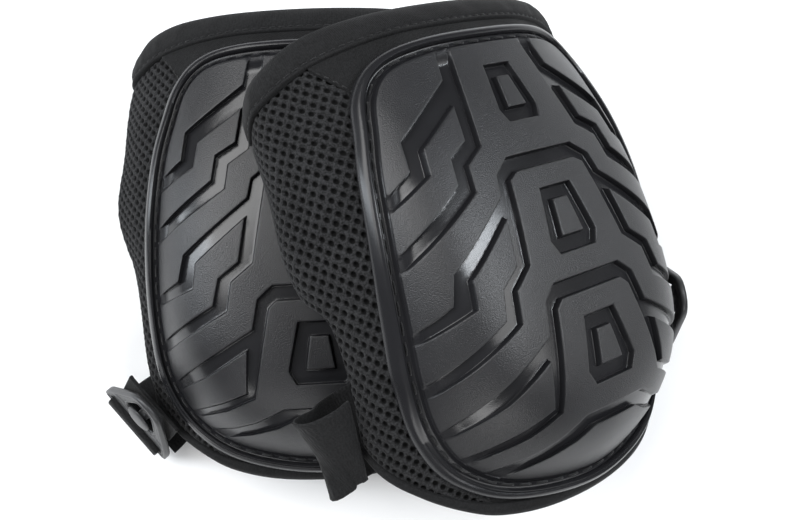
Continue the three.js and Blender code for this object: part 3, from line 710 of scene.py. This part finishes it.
def mesh_cell_parts():
    """The spacer mesh in plan: slanted rows of oval holes, as (arc, y) points, drops, painted shade and
    faces.
    """
    corner = [(-0.5, -0.5), (0.5, -0.5), (0.5, 0.5), (-0.5, 0.5)]
    share = np.array([np.array(p) + (np.array(q) - p) * k / 3
                      for p, q in zip(corner, corner[1:] + corner[:1]) for k in range(3)])
    border = share[:, :1] * ROWS[0] + share[:, 1:] * ROWS[1]
    around = share / np.linalg.norm(share, axis=1, keepdims=True) * HOLE
    hole = (around[:, :1] * ROWS[0] + around[:, 1:] * ROWS[1]) / PITCH
    crossing = np.where(np.arange(12) % 3 == 0, 0.14, 0.0)
    plan, drop, mark, faces = [], [], [], []
    base = 0
    for i in range(-60, 60):
        for j in range(-60, 60):
            centre = i * ROWS[0] + j * ROWS[1]
            if not (40 < centre[0] < 160 and -95 < centre[1] < 110):
                continue
            u = float(u_from_arc([centre[0]], [centre[1]])[0])
            y = centre[1]
            across = start_u(y) - 0.025 < u < hem_u(y) + 0.01
            if not (across and wing_bottom(u) - 2.5 < y < wing_top(u) + 2.5):
                continue
            plan += [centre + border, centre + hole * 1.05, centre + hole * 0.92, [centre]]
            drop += [crossing, np.full(12, -0.2), np.full(12, -1.7), [-1.8]]
            # painted shade in each hole: none on the strands, full at the hole's bottom
            mark += [np.zeros(12), np.full(12, 0.1), np.full(12, 0.95), [1.0]]
            for k in range(12):
                n = (k + 1) % 12
                faces.append([base + k, base + n, base + 12 + n, base + 12 + k])
                faces.append([base + 12 + k, base + 12 + n, base + 24 + n, base + 24 + k])
                faces.append([base + 24 + k, base + 24 + n, base + 36])
            base += 37
    return np.vstack(plan), np.concatenate(drop), np.concatenate(mark), faces


def weld(plan, others, faces, step=0.05):
    """Shares the points that neighbouring cells have in common."""
    key = np.round(plan / step).astype(int)
    _, first, back = np.unique(key, axis=0, return_index=True, return_inverse=True)
    back = back.ravel()
    welded = [[int(back[v]) for v in f] for f in faces]
    kept = [f for f in welded if len(set(f)) == len(f)]
    return plan[first], [o[first] for o in others], kept


def build_wing():
    """The right-hand wing in the pad's frame."""
    plan, drop, mark, faces = mesh_cell_parts()
    plan, (drop, mark), faces = weld(plan, (drop, mark), faces)
    y = plan[:, 1].copy()
    u = u_from_arc(plan[:, 0], y)
    for _ in range(2):
        lip = hem_u(y) - FOLD / HALF_GIRTH
        clipped = (u > lip) | (u < start_u(y)) | (y > wing_top(u)) | (y < wing_bottom(u))
        u = np.clip(u, start_u(y), lip)
        y = np.clip(y, wing_bottom(u), wing_top(u))
    drop = np.where(clipped, 0, drop)
    arc = arc_from_u(u, y)
    outer = skin(u, y, puff(arc, u, y) + drop)
    # mark carries the painted shade of the holes
    outer_part = (outer, faces, mark, np.stack([arc, y], 1))

    # the fold round the hem, then the inner face back to the cap: (u, height, extra cloth used)
    ys = np.linspace(wing_bottom(0.92), wing_top(0.99), 150)
    lip = hem_u(ys) - FOLD / HALF_GIRTH
    lift = puff(arc_from_u(lip, ys), lip, ys)
    strips = [(lip + FOLD / HALF_GIRTH * math.sin(a), lift - FOLD * (1 - math.cos(a)), 2 * a)
              for a in np.linspace(0, math.pi, 9)]
    strips += [(lip + (0.37 - lip) * k, lift * (1 - k) - 2 * FOLD, 0) for k in np.linspace(0.06, 1, 16)]
    fold = np.vstack([skin(u, ys, height) for u, height, _ in strips])
    fold_uv = np.vstack([np.stack([arc_from_u(u, ys) + extra, ys], 1) for u, _, extra in strips])
    fold_faces = [f[::-1] for f in grid_faces(len(strips), len(ys))]
    return join_parts([outer_part, (fold, fold_faces, 0.1, fold_uv)])


# ---- cloth panels, lining and tape ----
def build_panel(outer_edge, inner_edge, reach, depth=2.2):
    """A quilted strip of cloth between two lines (functions of u), closed all round."""
    u, k = np.meshgrid(np.linspace(-reach, reach, 90), np.linspace(0, 1, 14))
    y = outer_edge(u) * (1 - k) + inner_edge(u) * k
    rise = 0.9 * np.sin(math.pi * k) ** 0.7 - 0.8 + 0.25 * np.sin(u * 37 + 1) * np.sin(math.pi * k)
    return slab(skin(u, y, rise), skin(u, y, -depth), np.stack([u * HALF_GIRTH, y], -1))


def build_tape(edge, width, reach, inward, groove):
    """Tape folded round the pad's edge, with a stitched groove along its inner side."""
    u = np.linspace(-reach, reach, 150)
    # (distance in from the edge, height above the cloth); the lower half lies inside the pad
    top = [(width, -0.5), (width - 0.2, 0.5), (width - 0.7, 0.95), (width - 1.3, 0.85)]
    top += [(width - 1.8, 0.3), (width - 2.2, 0.3), (width - 2.7, 0.9)] if groove else []
    top += [(width * 0.62, 1.25), (width * 0.4, 1.3), (width * 0.2, 0.95), (0.9, 0.2)]
    wobble = 0.22 * np.sin(u * 47 + 1.7) + 0.15 * np.sin(u * 91)
    loops = [(distance, height + wobble * (3 < distance < width - 3)) for distance, height in top]
    thick = lining_depth(u, edge(u) - inward * 2) + 2.0
    loops += [(0.6 - 1.6 * math.sin(a), -thick / 2 + (thick / 2 + 0.2) * math.cos(a))
              for a in np.linspace(0.15, 0.85, 6) * math.pi]
    loops += [(0.9, -thick - 0.3), (width * 0.5, -thick - 0.9), (width, -thick - 0.6), (width, -thick + 0.6)]
    points = np.vstack([skin(u, edge(u) - inward * distance, height) for distance, height in loops])
    faces = grid_faces(len(loops), len(u), closed_rows=True)
    first = [r * len(u) for r in range(len(loops))]
    ends = [first, [k + len(u) - 1 for k in first][::-1]]
    along = arc_from_u(u, edge(u))
    uv = np.vstack([np.stack([along, np.full(len(u), float(k))], 1) for k in range(len(loops))])
    return points, orient(points, faces + ends), np.zeros(len(points)), uv


def build_lining():
    """The knitted lining against the knee, quilted along two lines and round the gel."""
    s, k = np.meshgrid(np.linspace(-1, 1, 121), np.linspace(0, 1, 121))
    u = s * (np.minimum(hem_u(92 - 170 * k), 0.96) - 0.03)
    y = (thigh_edge(u) - 4) * (1 - k) + (shin_edge(u) + 4) * k
    arc = u * HALF_GIRTH
    oval = np.hypot(arc / (GEL_HALF[0] + 6), (y - GEL_Y) / (GEL_HALF[1] + 6))
    seam = np.exp(-((oval - 1) * 38 / 1.6) ** 2)
    seam = np.maximum(seam, np.exp(-((np.abs(arc) - 62) / 1.5) ** 2) * smooth(84, 70, np.abs(y)))
    swell = 0.8 * (1 - seam) + 0.25 * np.sin(arc * 0.2) * np.sin(y * 0.17)
    depth = lining_depth(u, y)
    return slab(skin(u, y, -depth), skin(u, y, -(depth + 1.4 + swell)), np.stack([arc, y], -1))


def lining_z(x, y):
    """Height of the lining's upper side under (x, y)."""
    u = by_row(TABLE[:, FLAT_COLUMNS, 0], U_ROWS[:, FLAT_COLUMNS], np.abs(x), y)
    return cloth_z(x, y) - lining_depth(u, y)


def build_core(foot, foot_z, shrink, drop):
    """The foam block that fills the dome, down to the lining."""
    step = max(1, len(foot) // 120)
    f, z = foot[::step], foot_z[::step]
    rings = [0.3, 0.55, 0.75, 0.88, 0.95, 0.985]
    top = [dome(f, z, r) * [shrink, shrink, 1] - [0, 0, drop] for r in rings]
    bottom = [np.column_stack([t[:, 0], t[:, 1], np.minimum(lining_z(t[:, 0], t[:, 1]) + 0.6, t[:, 2] - 0.8)])
              for t in top[::-1]]
    low = float(lining_z(np.array([0.0]), np.array([0.0]))[0]) + 0.6
    return stack(top + bottom, [0, 0, -drop], [0, 0, low])


def build_gel():
    """A flattened oval gel pad with a rounded edge."""
    angle = np.arange(72) * 2 * math.pi / 72
    profile = [(0.3, 0.0), (0.6, -0.1), (0.85, -0.4), (0.95, -1.2), (1.0, -3.0), (0.97, -5.0), (0.88, -6.4),
               (0.6, -7.0), (0.3, -7.0)]
    loops = [np.column_stack([GEL_HALF[0] * r * np.cos(angle), GEL_Y + GEL_HALF[1] * r * np.sin(angle),
                              np.full(len(angle), GEL_Z + z)]) for r, z in profile]
    return stack(loops, [0, GEL_Y, GEL_Z + 0.1], [0, GEL_Y, GEL_Z - 7.1])


# ---- clips, rivets, tabs and straps ----
CLIP_SIZE = {"width": 45.0, "length": 43.0, "bar": 4.6, "slot": 4.4}
# heights up the rivet, from its foot
STACK = {"back": 0.35, "tab": 1.5, "flange": 3.65, "clip": 5.6, "clip_top": 8.6, "head": 9.0, "top": 10.8}


def rounded(corners, radius, steps=5):
    """A closed outline with its corners rounded."""
    points = []
    for k, wanted in enumerate(np.broadcast_to(radius, len(corners))):
        before, here, after = (Vector(corners[(k + d) % len(corners)]) for d in (-1, 0, 1))
        r = min(wanted, (before - here).length * 0.49, (after - here).length * 0.49)
        a, b = here + (before - here).normalized() * r, here + (after - here).normalized() * r
        for t in np.linspace(0, 1, steps):
            points.append(a * (1 - t) ** 2 + here * 2 * t * (1 - t) + b * t * t)
    return np.array([[p.x, p.y] for p in points])


def clip_outlines():
    width, length = CLIP_SIZE["width"] / 2, CLIP_SIZE["length"] / 2
    low = -length - 1.5
    high = length - 1.5
    outer = rounded([(-width, low), (width, low), (width - 0.6, low + 9.5), (7.5, high), (-7.5, high),
                     (-width + 0.6, low + 9.5)], [2.6, 2.6, 5, 8, 8, 5])
    half = STRAP_WIDTH / 2
    slot_low, slot_high = low + CLIP_SIZE["bar"], low + CLIP_SIZE["bar"] + CLIP_SIZE["slot"]
    slot = rounded([(-half, slot_low), (half, slot_low), (half - 1.6, slot_high),
                    (-half + 1.6, slot_high)], 1.2)
    key_top = high - 5.5
    keyhole = rounded([(-4.4, key_top), (4.4, key_top), (10, key_top - 16.5), (8.6, key_top - 20.5),
                       (-8.6, key_top - 20.5), (-10, key_top - 16.5)], [4, 4, 3.5, 2.5, 2.5, 3.5])
    return outer, slot, keyhole


def plate(outlines, low, high):
    """A flat plate with holes."""
    points, edges = [], []
    for outline in outlines:
        base = len(points)
        points += [Vector(p) for p in outline]
        edges += [(base + k, base + (k + 1) % len(outline)) for k in range(len(outline))]
    found, _, triangles, *_ = delaunay_2d_cdt(points, edges, [], 0, 1e-5)
    flat = np.array([[p.x, p.y] for p in found])
    kept = []
    for tri in triangles:
        centre = flat[list(tri)].mean(0)
        away = [float(signed_distance(np.array([centre[0]]), np.array([centre[1]]), o)[0]) for o in outlines]
        if away[0] < 0 and all(a > 0 for a in away[1:]):
            kept.append(list(tri))
    n = len(flat)
    solid = np.vstack([np.column_stack([flat, np.full(n, high)]), np.column_stack([flat, np.full(n, low)])])
    faces = kept + [[q + n for q in t[::-1]] for t in kept]
    sides = [(a, b) for t in kept for a, b in zip(t, t[1:] + t[:1])]
    shared = set(sides)
    faces += [[b, a, a + n, b + n] for a, b in sides if (b, a) not in shared]
    return solid, faces


def bead_round(outline, inset, section, level):
    """A raised bead along a closed outline, its centre inset from it."""
    line = np.column_stack([outline, np.full(len(outline), level)])
    tangent = unit(np.roll(outline, -1, 0) - np.roll(outline, 1, 0))
    inward = np.column_stack([-tangent[:, 1], tangent[:, 0], np.zeros(len(outline))])
    up = np.tile([0, 0, 1.0], (len(outline), 1))
    return sweep(line + inward * inset, inward, up, section, closed=True)


def build_clip():
    outer, slot, keyhole = clip_outlines()
    low, high = STACK["clip"], STACK["clip_top"]
    solid, faces = plate([outer, slot, keyhole], low + 0.15, high - 0.35)
    parts = [(solid, orient(solid, faces), 0, solid[:, :2])]
    thick = (high - low) / 2
    round_bar = [(1.25 * math.cos(a), thick * math.sin(a)) for a in np.arange(12) * math.pi / 6]
    small = [(0.9 * math.cos(a), thick * 0.92 * math.sin(a)) for a in np.arange(10) * math.pi / 5]
    for outline, inset, section in ((outer, 1.25, round_bar), (keyhole, 0.85, small), (slot, -0.8, small)):
        p, f, t = bead_round(outline, inset, section, low + thick)
        parts.append((p, orient(p, f), 0, t))
    return join_parts(parts)


def lathe(profile, count=40):
    angle = np.arange(count) * 2 * math.pi / count
    loops = [np.column_stack([r * np.cos(angle), r * np.sin(angle), np.full(count, z)]) for r, z in profile]
    points = np.vstack(loops)
    faces = grid_faces(len(loops), count, closed_columns=True)
    faces += [list(range(count))[::-1], [(len(loops) - 1) * count + k for k in range(count)]]
    return points, orient(points, faces), np.zeros(len(points)), points[:, :2]


def build_stud():
    back, flange, head, top = (STACK[k] for k in ("back", "flange", "head", "top"))
    return lathe([(5.4, back), (6.0, back + 0.3), (6.0, back + 0.8), (2.4, back + 0.9), (2.4, flange),
                  (6.1, flange), (6.4, flange + 0.3), (6.3, flange + 0.9), (2.8, flange + 1.0), (2.8, head),
                  (6.7, head), (7.2, head + 0.25), (7.25, head + 0.6), (6.9, head + 1.0), (6.0, head + 1.4),
                  (4.5, top - 0.15), (3.0, top - 0.02), (1.2, top)])


def build_loop():
    """The strap's end, folded round the clip's bar and sewn."""
    low = -CLIP_SIZE["length"] / 2 - 1.5
    y0, y1 = low - 1.25, low + CLIP_SIZE["bar"] + 1.25
    z0, z1 = STACK["clip"] - 1.25, STACK["clip_top"] + 1.25
    ring = rounded([(y0, z0), (y1, z0), (y1, z1), (y0, z1)], 2.0, 6)
    width = (STRAP_WIDTH - 3) / 2
    path = np.column_stack([np.zeros(len(ring)), ring])
    tangent = unit(np.roll(path, -1, 0) - np.roll(path, 1, 0))
    across = np.tile([1.0, 0, 0], (len(path), 1))
    up = np.cross(tangent, across)
    half = 0.88
    section = [(-width, -half * 0.6), (-width + 0.5, -half), (width - 0.5, -half), (width, -half * 0.6),
               (width, half * 0.6), (width - 0.5, half), (-width + 0.5, half), (-width, half * 0.6)]
    p, f, t = sweep(path, across, up, section, closed=True)
    return p, orient(p, f), np.zeros(len(p)), t


def ribbon(path, across, width, thickness, count, twist_end=0.2, across_end=None, tail=None, cut=0):
    """A woven strap with slightly raised selvedges, in two lengths where cut is above 0.

    Its last part may lean to a tail direction."""
    line, tangent = smooth_path(path, count)
    t = smooth(0, twist_end, np.linspace(0, 1, count))[:, None]
    end = np.asarray(across_end if across_end is not None else across, float)
    side = np.asarray(across, float) * (1 - t) + end * t
    if tail is not None:
        lean = smooth(0.8, 0.93, np.linspace(0, 1, count))[:, None]
        side = side * (1 - lean) + np.asarray(tail, float) * lean
    side = unit(side - tangent * np.sum(side * tangent, axis=1, keepdims=True))
    up = np.cross(tangent, side)
    w, h = width / 2, thickness / 2
    under = [(-w, -h * 0.5), (-w + 0.5, -h), (-w + 2.2, -h * 0.8), (0, -h * 0.75), (w - 2.2, -h * 0.8),
             (w - 0.5, -h), (w, -h * 0.5)]
    section = under + [(x, -y) for x, y in under[::-1]]
    made = []
    for first, last in ((0, cut + 1), (cut, count)) if cut else ((0, count),):
        p, f, uv = sweep(line[first:last], side[first:last], up[first:last], section)
        made.append((p, orient(p, f), np.zeros(len(p)), uv))
    return made if cut else made[0]


# Places are for a pad whose outer side is +x: the rivet, the way it points, the way the clip's
# apex points, how far the tab reaches, where the strap has twisted flat, and the strap's way from
# the clip to the far wing.
LAYOUT = {
    "left": {
        "upper": {
            "stud": (58, 38, -73.2), "outwards": (0, 0, -1), "apex": (1, 0, 0),
            "reach": 16, "twist": 0.25,
            "strap": [(31, 38, -80.8), (10, 38, -82.2), (-20, 38, -82.2), (-48, 38, -82.2), (-70, 38, -79),
                      (-77, 38, -70), (-79, 38, -58)],
        },
        "lower": {
            "stud": (83, -64, -58), "outwards": (0.707, -0.562, 0.423), "apex": (-0.33, 0.263, 0.906),
            "reach": 14, "twist": 0.25,
            "strap": [(90, -75, -80.6), (78, -66, -82.6), (40, -50, -82.6), (0, -44, -82.6),
                      (-50, -44, -82.6), (-80, -43, -81.5), (-92, -43, -81), (-96, -43, -76),
                      (-93, -43, -71), (-88, -43, -68)],
        },
    },
    "right": {
        "upper": {
            "stud": (60, 38, -62), "outwards": (-0.42, 0, -0.9), "apex": (0.9, 0, -0.42),
            "reach": 14, "twist": 0.25,
            "strap": [(32, 38, -57), (10, 38, -51.5), (-15, 38, -50.5), (-40, 38, -56.5), (-62, 38, -66),
                      (-76, 38, -67), (-79, 38, -58)],
        },
        "lower": {
            "stud": (81.8, -38, -43.4), "outwards": (0.835, -0.2, 0.51), "apex": (-0.5, 0.1, 0.86),
            "reach": 9, "twist": 0.06,
            "strap": [(103.4, -42.5, -66.4), (102.3, -42.6, -68.9), (98, -42.8, -72.1), (92, -43.2, -75.5),
                      (86, -43.6, -79), (64, -44, -78), (40, -43, -70), (10, -44, -63), (-20, -44, -62),
                      (-50, -44, -69), (-70, -43, -78), (-82, -45, -83), (-93, -47, -83.5),
                      (-100.5, -48, -78), (-99.5, -48, -69), (-93, -47, -65), (-88, -46, -65)],
            # the way the width leans where the strap loops back on itself
            "tail": (-0.34, 0.84, 0.42),
        },
    },
}


def clip_frame(side, place):
    """z along the rivet, y towards the clip's apex; in the pad's frame."""
    mirror = Vector((OUTER[side], 1, 1))
    z = (Vector(place["outwards"]) * mirror).normalized()
    apex = Vector(place["apex"]) * mirror
    y = (apex - z * apex.dot(z)).normalized()
    x = y.cross(z)
    made = Matrix((x, y, z)).transposed().to_4x4()
    made.translation = Vector(place["stud"]) * mirror
    return made


def build_tab(reach):
    """Webbing under the rivet."""
    path = [(0, y, STACK["tab"] + STRAP_THICKNESS / 2) for y in (-11, 0, reach)]
    return ribbon(path, (1, 0, 0), STRAP_WIDTH - 4, STRAP_THICKNESS, 24)


# ---- putting one pad together ----
def put(name, made, matrix, material, body, replaces, slot):
    """A piece from points in its own frame, faces, a number at each point and a UV pair at each."""
    points, faces, values, uv = made
    mesh = bpy.data.meshes.new(name)
    step = -1 if matrix.to_3x3().determinant() < 0 else 1
    mesh.from_pydata(np.asarray(points, float).tolist(), [], [list(map(int, f))[::step] for f in faces])
    mesh.transform(matrix)
    mesh.attributes.new("mark", "FLOAT", "POINT").data.foreach_set("value", np.asarray(values, np.float32))
    if uv is not None:
        corner = np.zeros(len(mesh.loops), np.int32)
        mesh.loops.foreach_get("vertex_index", corner)
        layer = mesh.uv_layers.new(name="UVMap")
        layer.data.foreach_set("uv", np.asarray(uv, np.float32)[corner].ravel())
    mesh.polygons.foreach_set("use_smooth", [True] * len(mesh.polygons))
    mesh.materials.append(material)
    mesh.update()
    piece = bpy.data.objects.new(name, mesh)
    bpy.context.scene.collection.objects.link(piece)
    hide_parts(*replaces)
    if body:
        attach(piece, body)
    return piece


CAP_PARTS = build_cap()
WING_PARTS = build_wing()
CLIP_PARTS = build_clip()
MIRROR = Matrix.Scale(-1, 4, (1, 0, 0))


def pad_stitches():
    """Thread in the cap's sewing channel, along the tapes and down the seams."""
    channel = cap_outline(AROUND, 2.15)
    channel = np.vstack([channel, channel[:1]])
    line = np.column_stack([channel, cloth_z(channel[:, 0], channel[:, 1]) + 2.75])
    rows = stitch_row(line, np.tile([0, 0, 1.0], (len(line), 1)), 8.0, 5.6, 0.42)
    thigh, shin, seam = (np.linspace(*ends) for ends in (
        (-0.985, 0.985, 260), (-0.91, 0.91, 220), (0.37, 0.515, 30)))
    for u, y, height in ((thigh, thigh_edge(thigh) - TOP_TAPE + 2.0, 0.45),
                         (shin, shin_edge(shin) + LOW_TAPE - 1.6, 0.75),
                         (-seam, thigh_cloth_inner(seam) + 1.3, -0.2),
                         (seam, thigh_cloth_inner(seam) + 1.3, -0.2)):
        line = skin(u, y, height)
        rows += stitch_row(line, skin(u, y, height + 1.0) - line, 4.2, 2.9, 0.28)
    return join_parts(rows)


def thigh_cloth_inner(u):
    return np.interp(np.abs(u), [0, 0.1, 0.2, 0.3, 0.365, 0.52], [95, 95, 94.5, 90, 82.5, 100.2])


def shin_cloth_inner(u):
    return np.interp(np.abs(u), [0, 0.1, 0.2, 0.3, 0.36], [-90.5, -89, -85, -78, -72])


def build_pad(side):
    place = PAD_FRAME[side]
    body = f"{side}_pad"
    points, faces, values, foot, foot_z = CAP_PARTS
    cap = put(f"{side}_cap", (points, faces, values, None), place, CAP, body, [f"{side}_shell"], "cap_shell")
    cap.data.set_sharp_from_angle(angle=math.radians(38))
    cap.modifiers.new("flat_lands", "WEIGHTED_NORMAL").keep_sharp = True
    core = build_core(foot, foot_z, 0.94, SHELL_THICKNESS + 1.6)
    top = build_panel(lambda u: thigh_edge(u) - TOP_TAPE + 0.6, thigh_cloth_inner, 0.518)
    low = build_panel(lambda u: shin_edge(u) + LOW_TAPE - 0.6, shin_cloth_inner, 0.345)
    top_tape = build_tape(thigh_edge, TOP_TAPE, 0.985, 1, True)
    low_tape = build_tape(shin_edge, LOW_TAPE + 1, 0.91, -1, False)
    inner, outer = (place, place @ MIRROR) if OUTER[side] < 0 else (place @ MIRROR, place)
    for name, made, matrix, material, node, slot, fill in (
            ("foam", core, place, FOAM, "foam_core", "foam", 0.9),
            ("gel", build_gel(), place, GEL, "gel_insert", "gel", 0.9),
            ("lining", build_lining(), place, KNIT, "liner", "lining", 0.3),
            ("inner_mesh_wing", WING_PARTS, inner, MESH, "inner_wing", "spacer_mesh", 0.5),
            ("outer_mesh_wing", WING_PARTS, outer, MESH, "outer_wing", "spacer_mesh", 0.5),
            ("top_cloth", top, place, WOVEN, "top_panel", "woven_cloth", 0.3),
            ("bottom_cloth", low, place, WOVEN, "bottom_panel", "woven_cloth", 0.3),
            ("top_tape", top_tape, place, TAPE, "top_binding", "binding_tape", None),
            ("bottom_tape", low_tape, place, TAPE, "bottom_binding", "binding_tape", None),
            ("thread", pad_stitches(), place, THREAD, None, "binding_tape", None)):
        piece = put(f"{side}_{name}", made, matrix, material, body, [f"{side}_{node}"] if node else [], slot)
    for end, where in LAYOUT[side].items():
        build_fastening(side, end, where, place)


def build_fastening(side, end, where, place):
    pad, rivet, buckle = f"{side}_pad", f"{side}_{end}_rivet", f"{side}_{end}_buckle"
    clip = place @ clip_frame(side, where)
    strap_node = f"{side}_{end}_strap"
    for name, made, material, body, node, slot in (
            ("clip_plate", CLIP_PARTS, CLIP, buckle, "clip", "clip_plastic"),
            ("rivet_stud", build_stud(), CLIP, rivet, "stud", "clip_plastic"),
            ("webbing_tab", build_tab(where["reach"]), WEBBING, pad, "tab", "webbing"),
            ("bar_loop", build_loop(), WEBBING, buckle, "strap_loop", "webbing")):
        put(f"{side}_{end}_{name}", made, clip, material, body, [f"{side}_{end}_{node}"], slot)
    mirror = np.array([OUTER[side], 1, 1.0])
    path = [tuple(np.array(p) * mirror) for p in where["strap"]]
    across = tuple(clip_frame(side, where).to_3x3() @ Vector((OUTER[side], 0, 0)))
    line, _ = smooth_path(path, STRAP_STEPS)
    run = run_along(line)
    sewn = int(np.searchsorted(run, SEWN_LENGTH))
    made = ribbon(path, across, STRAP_WIDTH, STRAP_THICKNESS, STRAP_STEPS, where["twist"], (0, 1, 0),
                  where.get("tail"), sewn)
    near, join, far = (place @ Vector(line[k]) for k in (0, sewn, int(np.searchsorted(run, PIVOT_LENGTH))))
    # the strap in two pieces: its sewn end by the clip, then the rest
    sewn_end = put(f"{side}_{end}_strap_sewn_end", made[0], place, WEBBING, None, [strap_node], "webbing")
    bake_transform(sewn_end)
    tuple(near)
    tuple(join)
    strap = put(f"{side}_{end}_elastic_strap", made[1], place, WEBBING, None, [strap_node], "webbing")
    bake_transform(strap)
    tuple(join)
    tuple(far)


for pad_side in ("left", "right"):
    build_pad(pad_side)

# ---- floor, light and camera ----
def soft_light(name, at, aim, size, power, colour=(1, 1, 1)):
    light = bpy.data.lights.new(name, "AREA")
    light.shape = "RECTANGLE"
    light.size, light.size_y = size
    light.energy = power
    light.color = colour
    made = bpy.data.objects.new(name, light)
    made.location = at
    made.rotation_euler = (Vector(aim) - Vector(at)).to_track_quat("-Z", "Y").to_euler()
    bpy.context.scene.collection.objects.link(made)


floor_mesh = bpy.data.meshes.new("floor")
floor_mesh.from_pydata([(-3, -3, 0), (3, -3, 0), (3, 3, 0), (-3, 3, 0)], [], [(0, 1, 2, 3)])
floor = bpy.data.objects.new("floor", floor_mesh)
bpy.context.scene.collection.objects.link(floor)
pale = Graph("pale_floor")
pale.set("Base Color", (0.97, 0.97, 0.97, 1))
pale.set("Roughness", 0.9)
pale.set("Specular IOR Level", 0.1)
floor.data.materials.append(pale.material)

world = bpy.data.worlds.new("soft_room")
world.use_nodes = True
background = world.node_tree.nodes["Background"]
background.inputs["Color"].default_value = (0.95, 0.97, 1.0, 1)
background.inputs["Strength"].default_value = 0.16
bpy.context.scene.world = world

soft_light("upper_left_box", (-0.62, 0.46, 1.15), (0, 0, 0.05), (0.9, 0.9), 15)
soft_light("left_strip", (-0.95, 0.15, 0.55), (0, 0, 0.05), (0.2, 0.9), 6, (0.88, 0.94, 1.0))
soft_light("right_strip", (0.66, 0.32, 0.9), (0.05, 0, 0.05), (0.1, 0.8), 6, (0.88, 0.94, 1.0))
soft_light("right_box", (1.0, 0.1, 1.1), (0, 0, 0.05), (0.8, 1.1), 9)
soft_light("front_strip", (0.0, -1.1, 0.8), (0, 0, 0.05), (1.4, 0.3), 7)

# the camera looks almost straight down; its axes are the view's right, up and back
CAMERA_IN_LEFT_PAD = Vector((15.0, -28.3, 412.7))
camera_data = bpy.data.cameras.new("camera")
camera_data.lens = 43.8
camera_data.sensor_width = 36
camera_data.clip_start = 0.01
camera = bpy.data.objects.new("camera", camera_data)
axes = Matrix(((0.99774, -0.05207, 0.04236), (0.04931, 0.99675, 0.06368), (-0.04554, -0.06145, 0.99707)))
camera.matrix_world = Matrix.Translation((LEFT_AT + CAMERA_IN_LEFT_PAD) * 0.001) @ axes.transposed().to_4x4()
bpy.context.scene.collection.objects.link(camera)
bpy.context.scene.camera = camera
bpy.context.scene.view_settings.view_transform = "Standard"
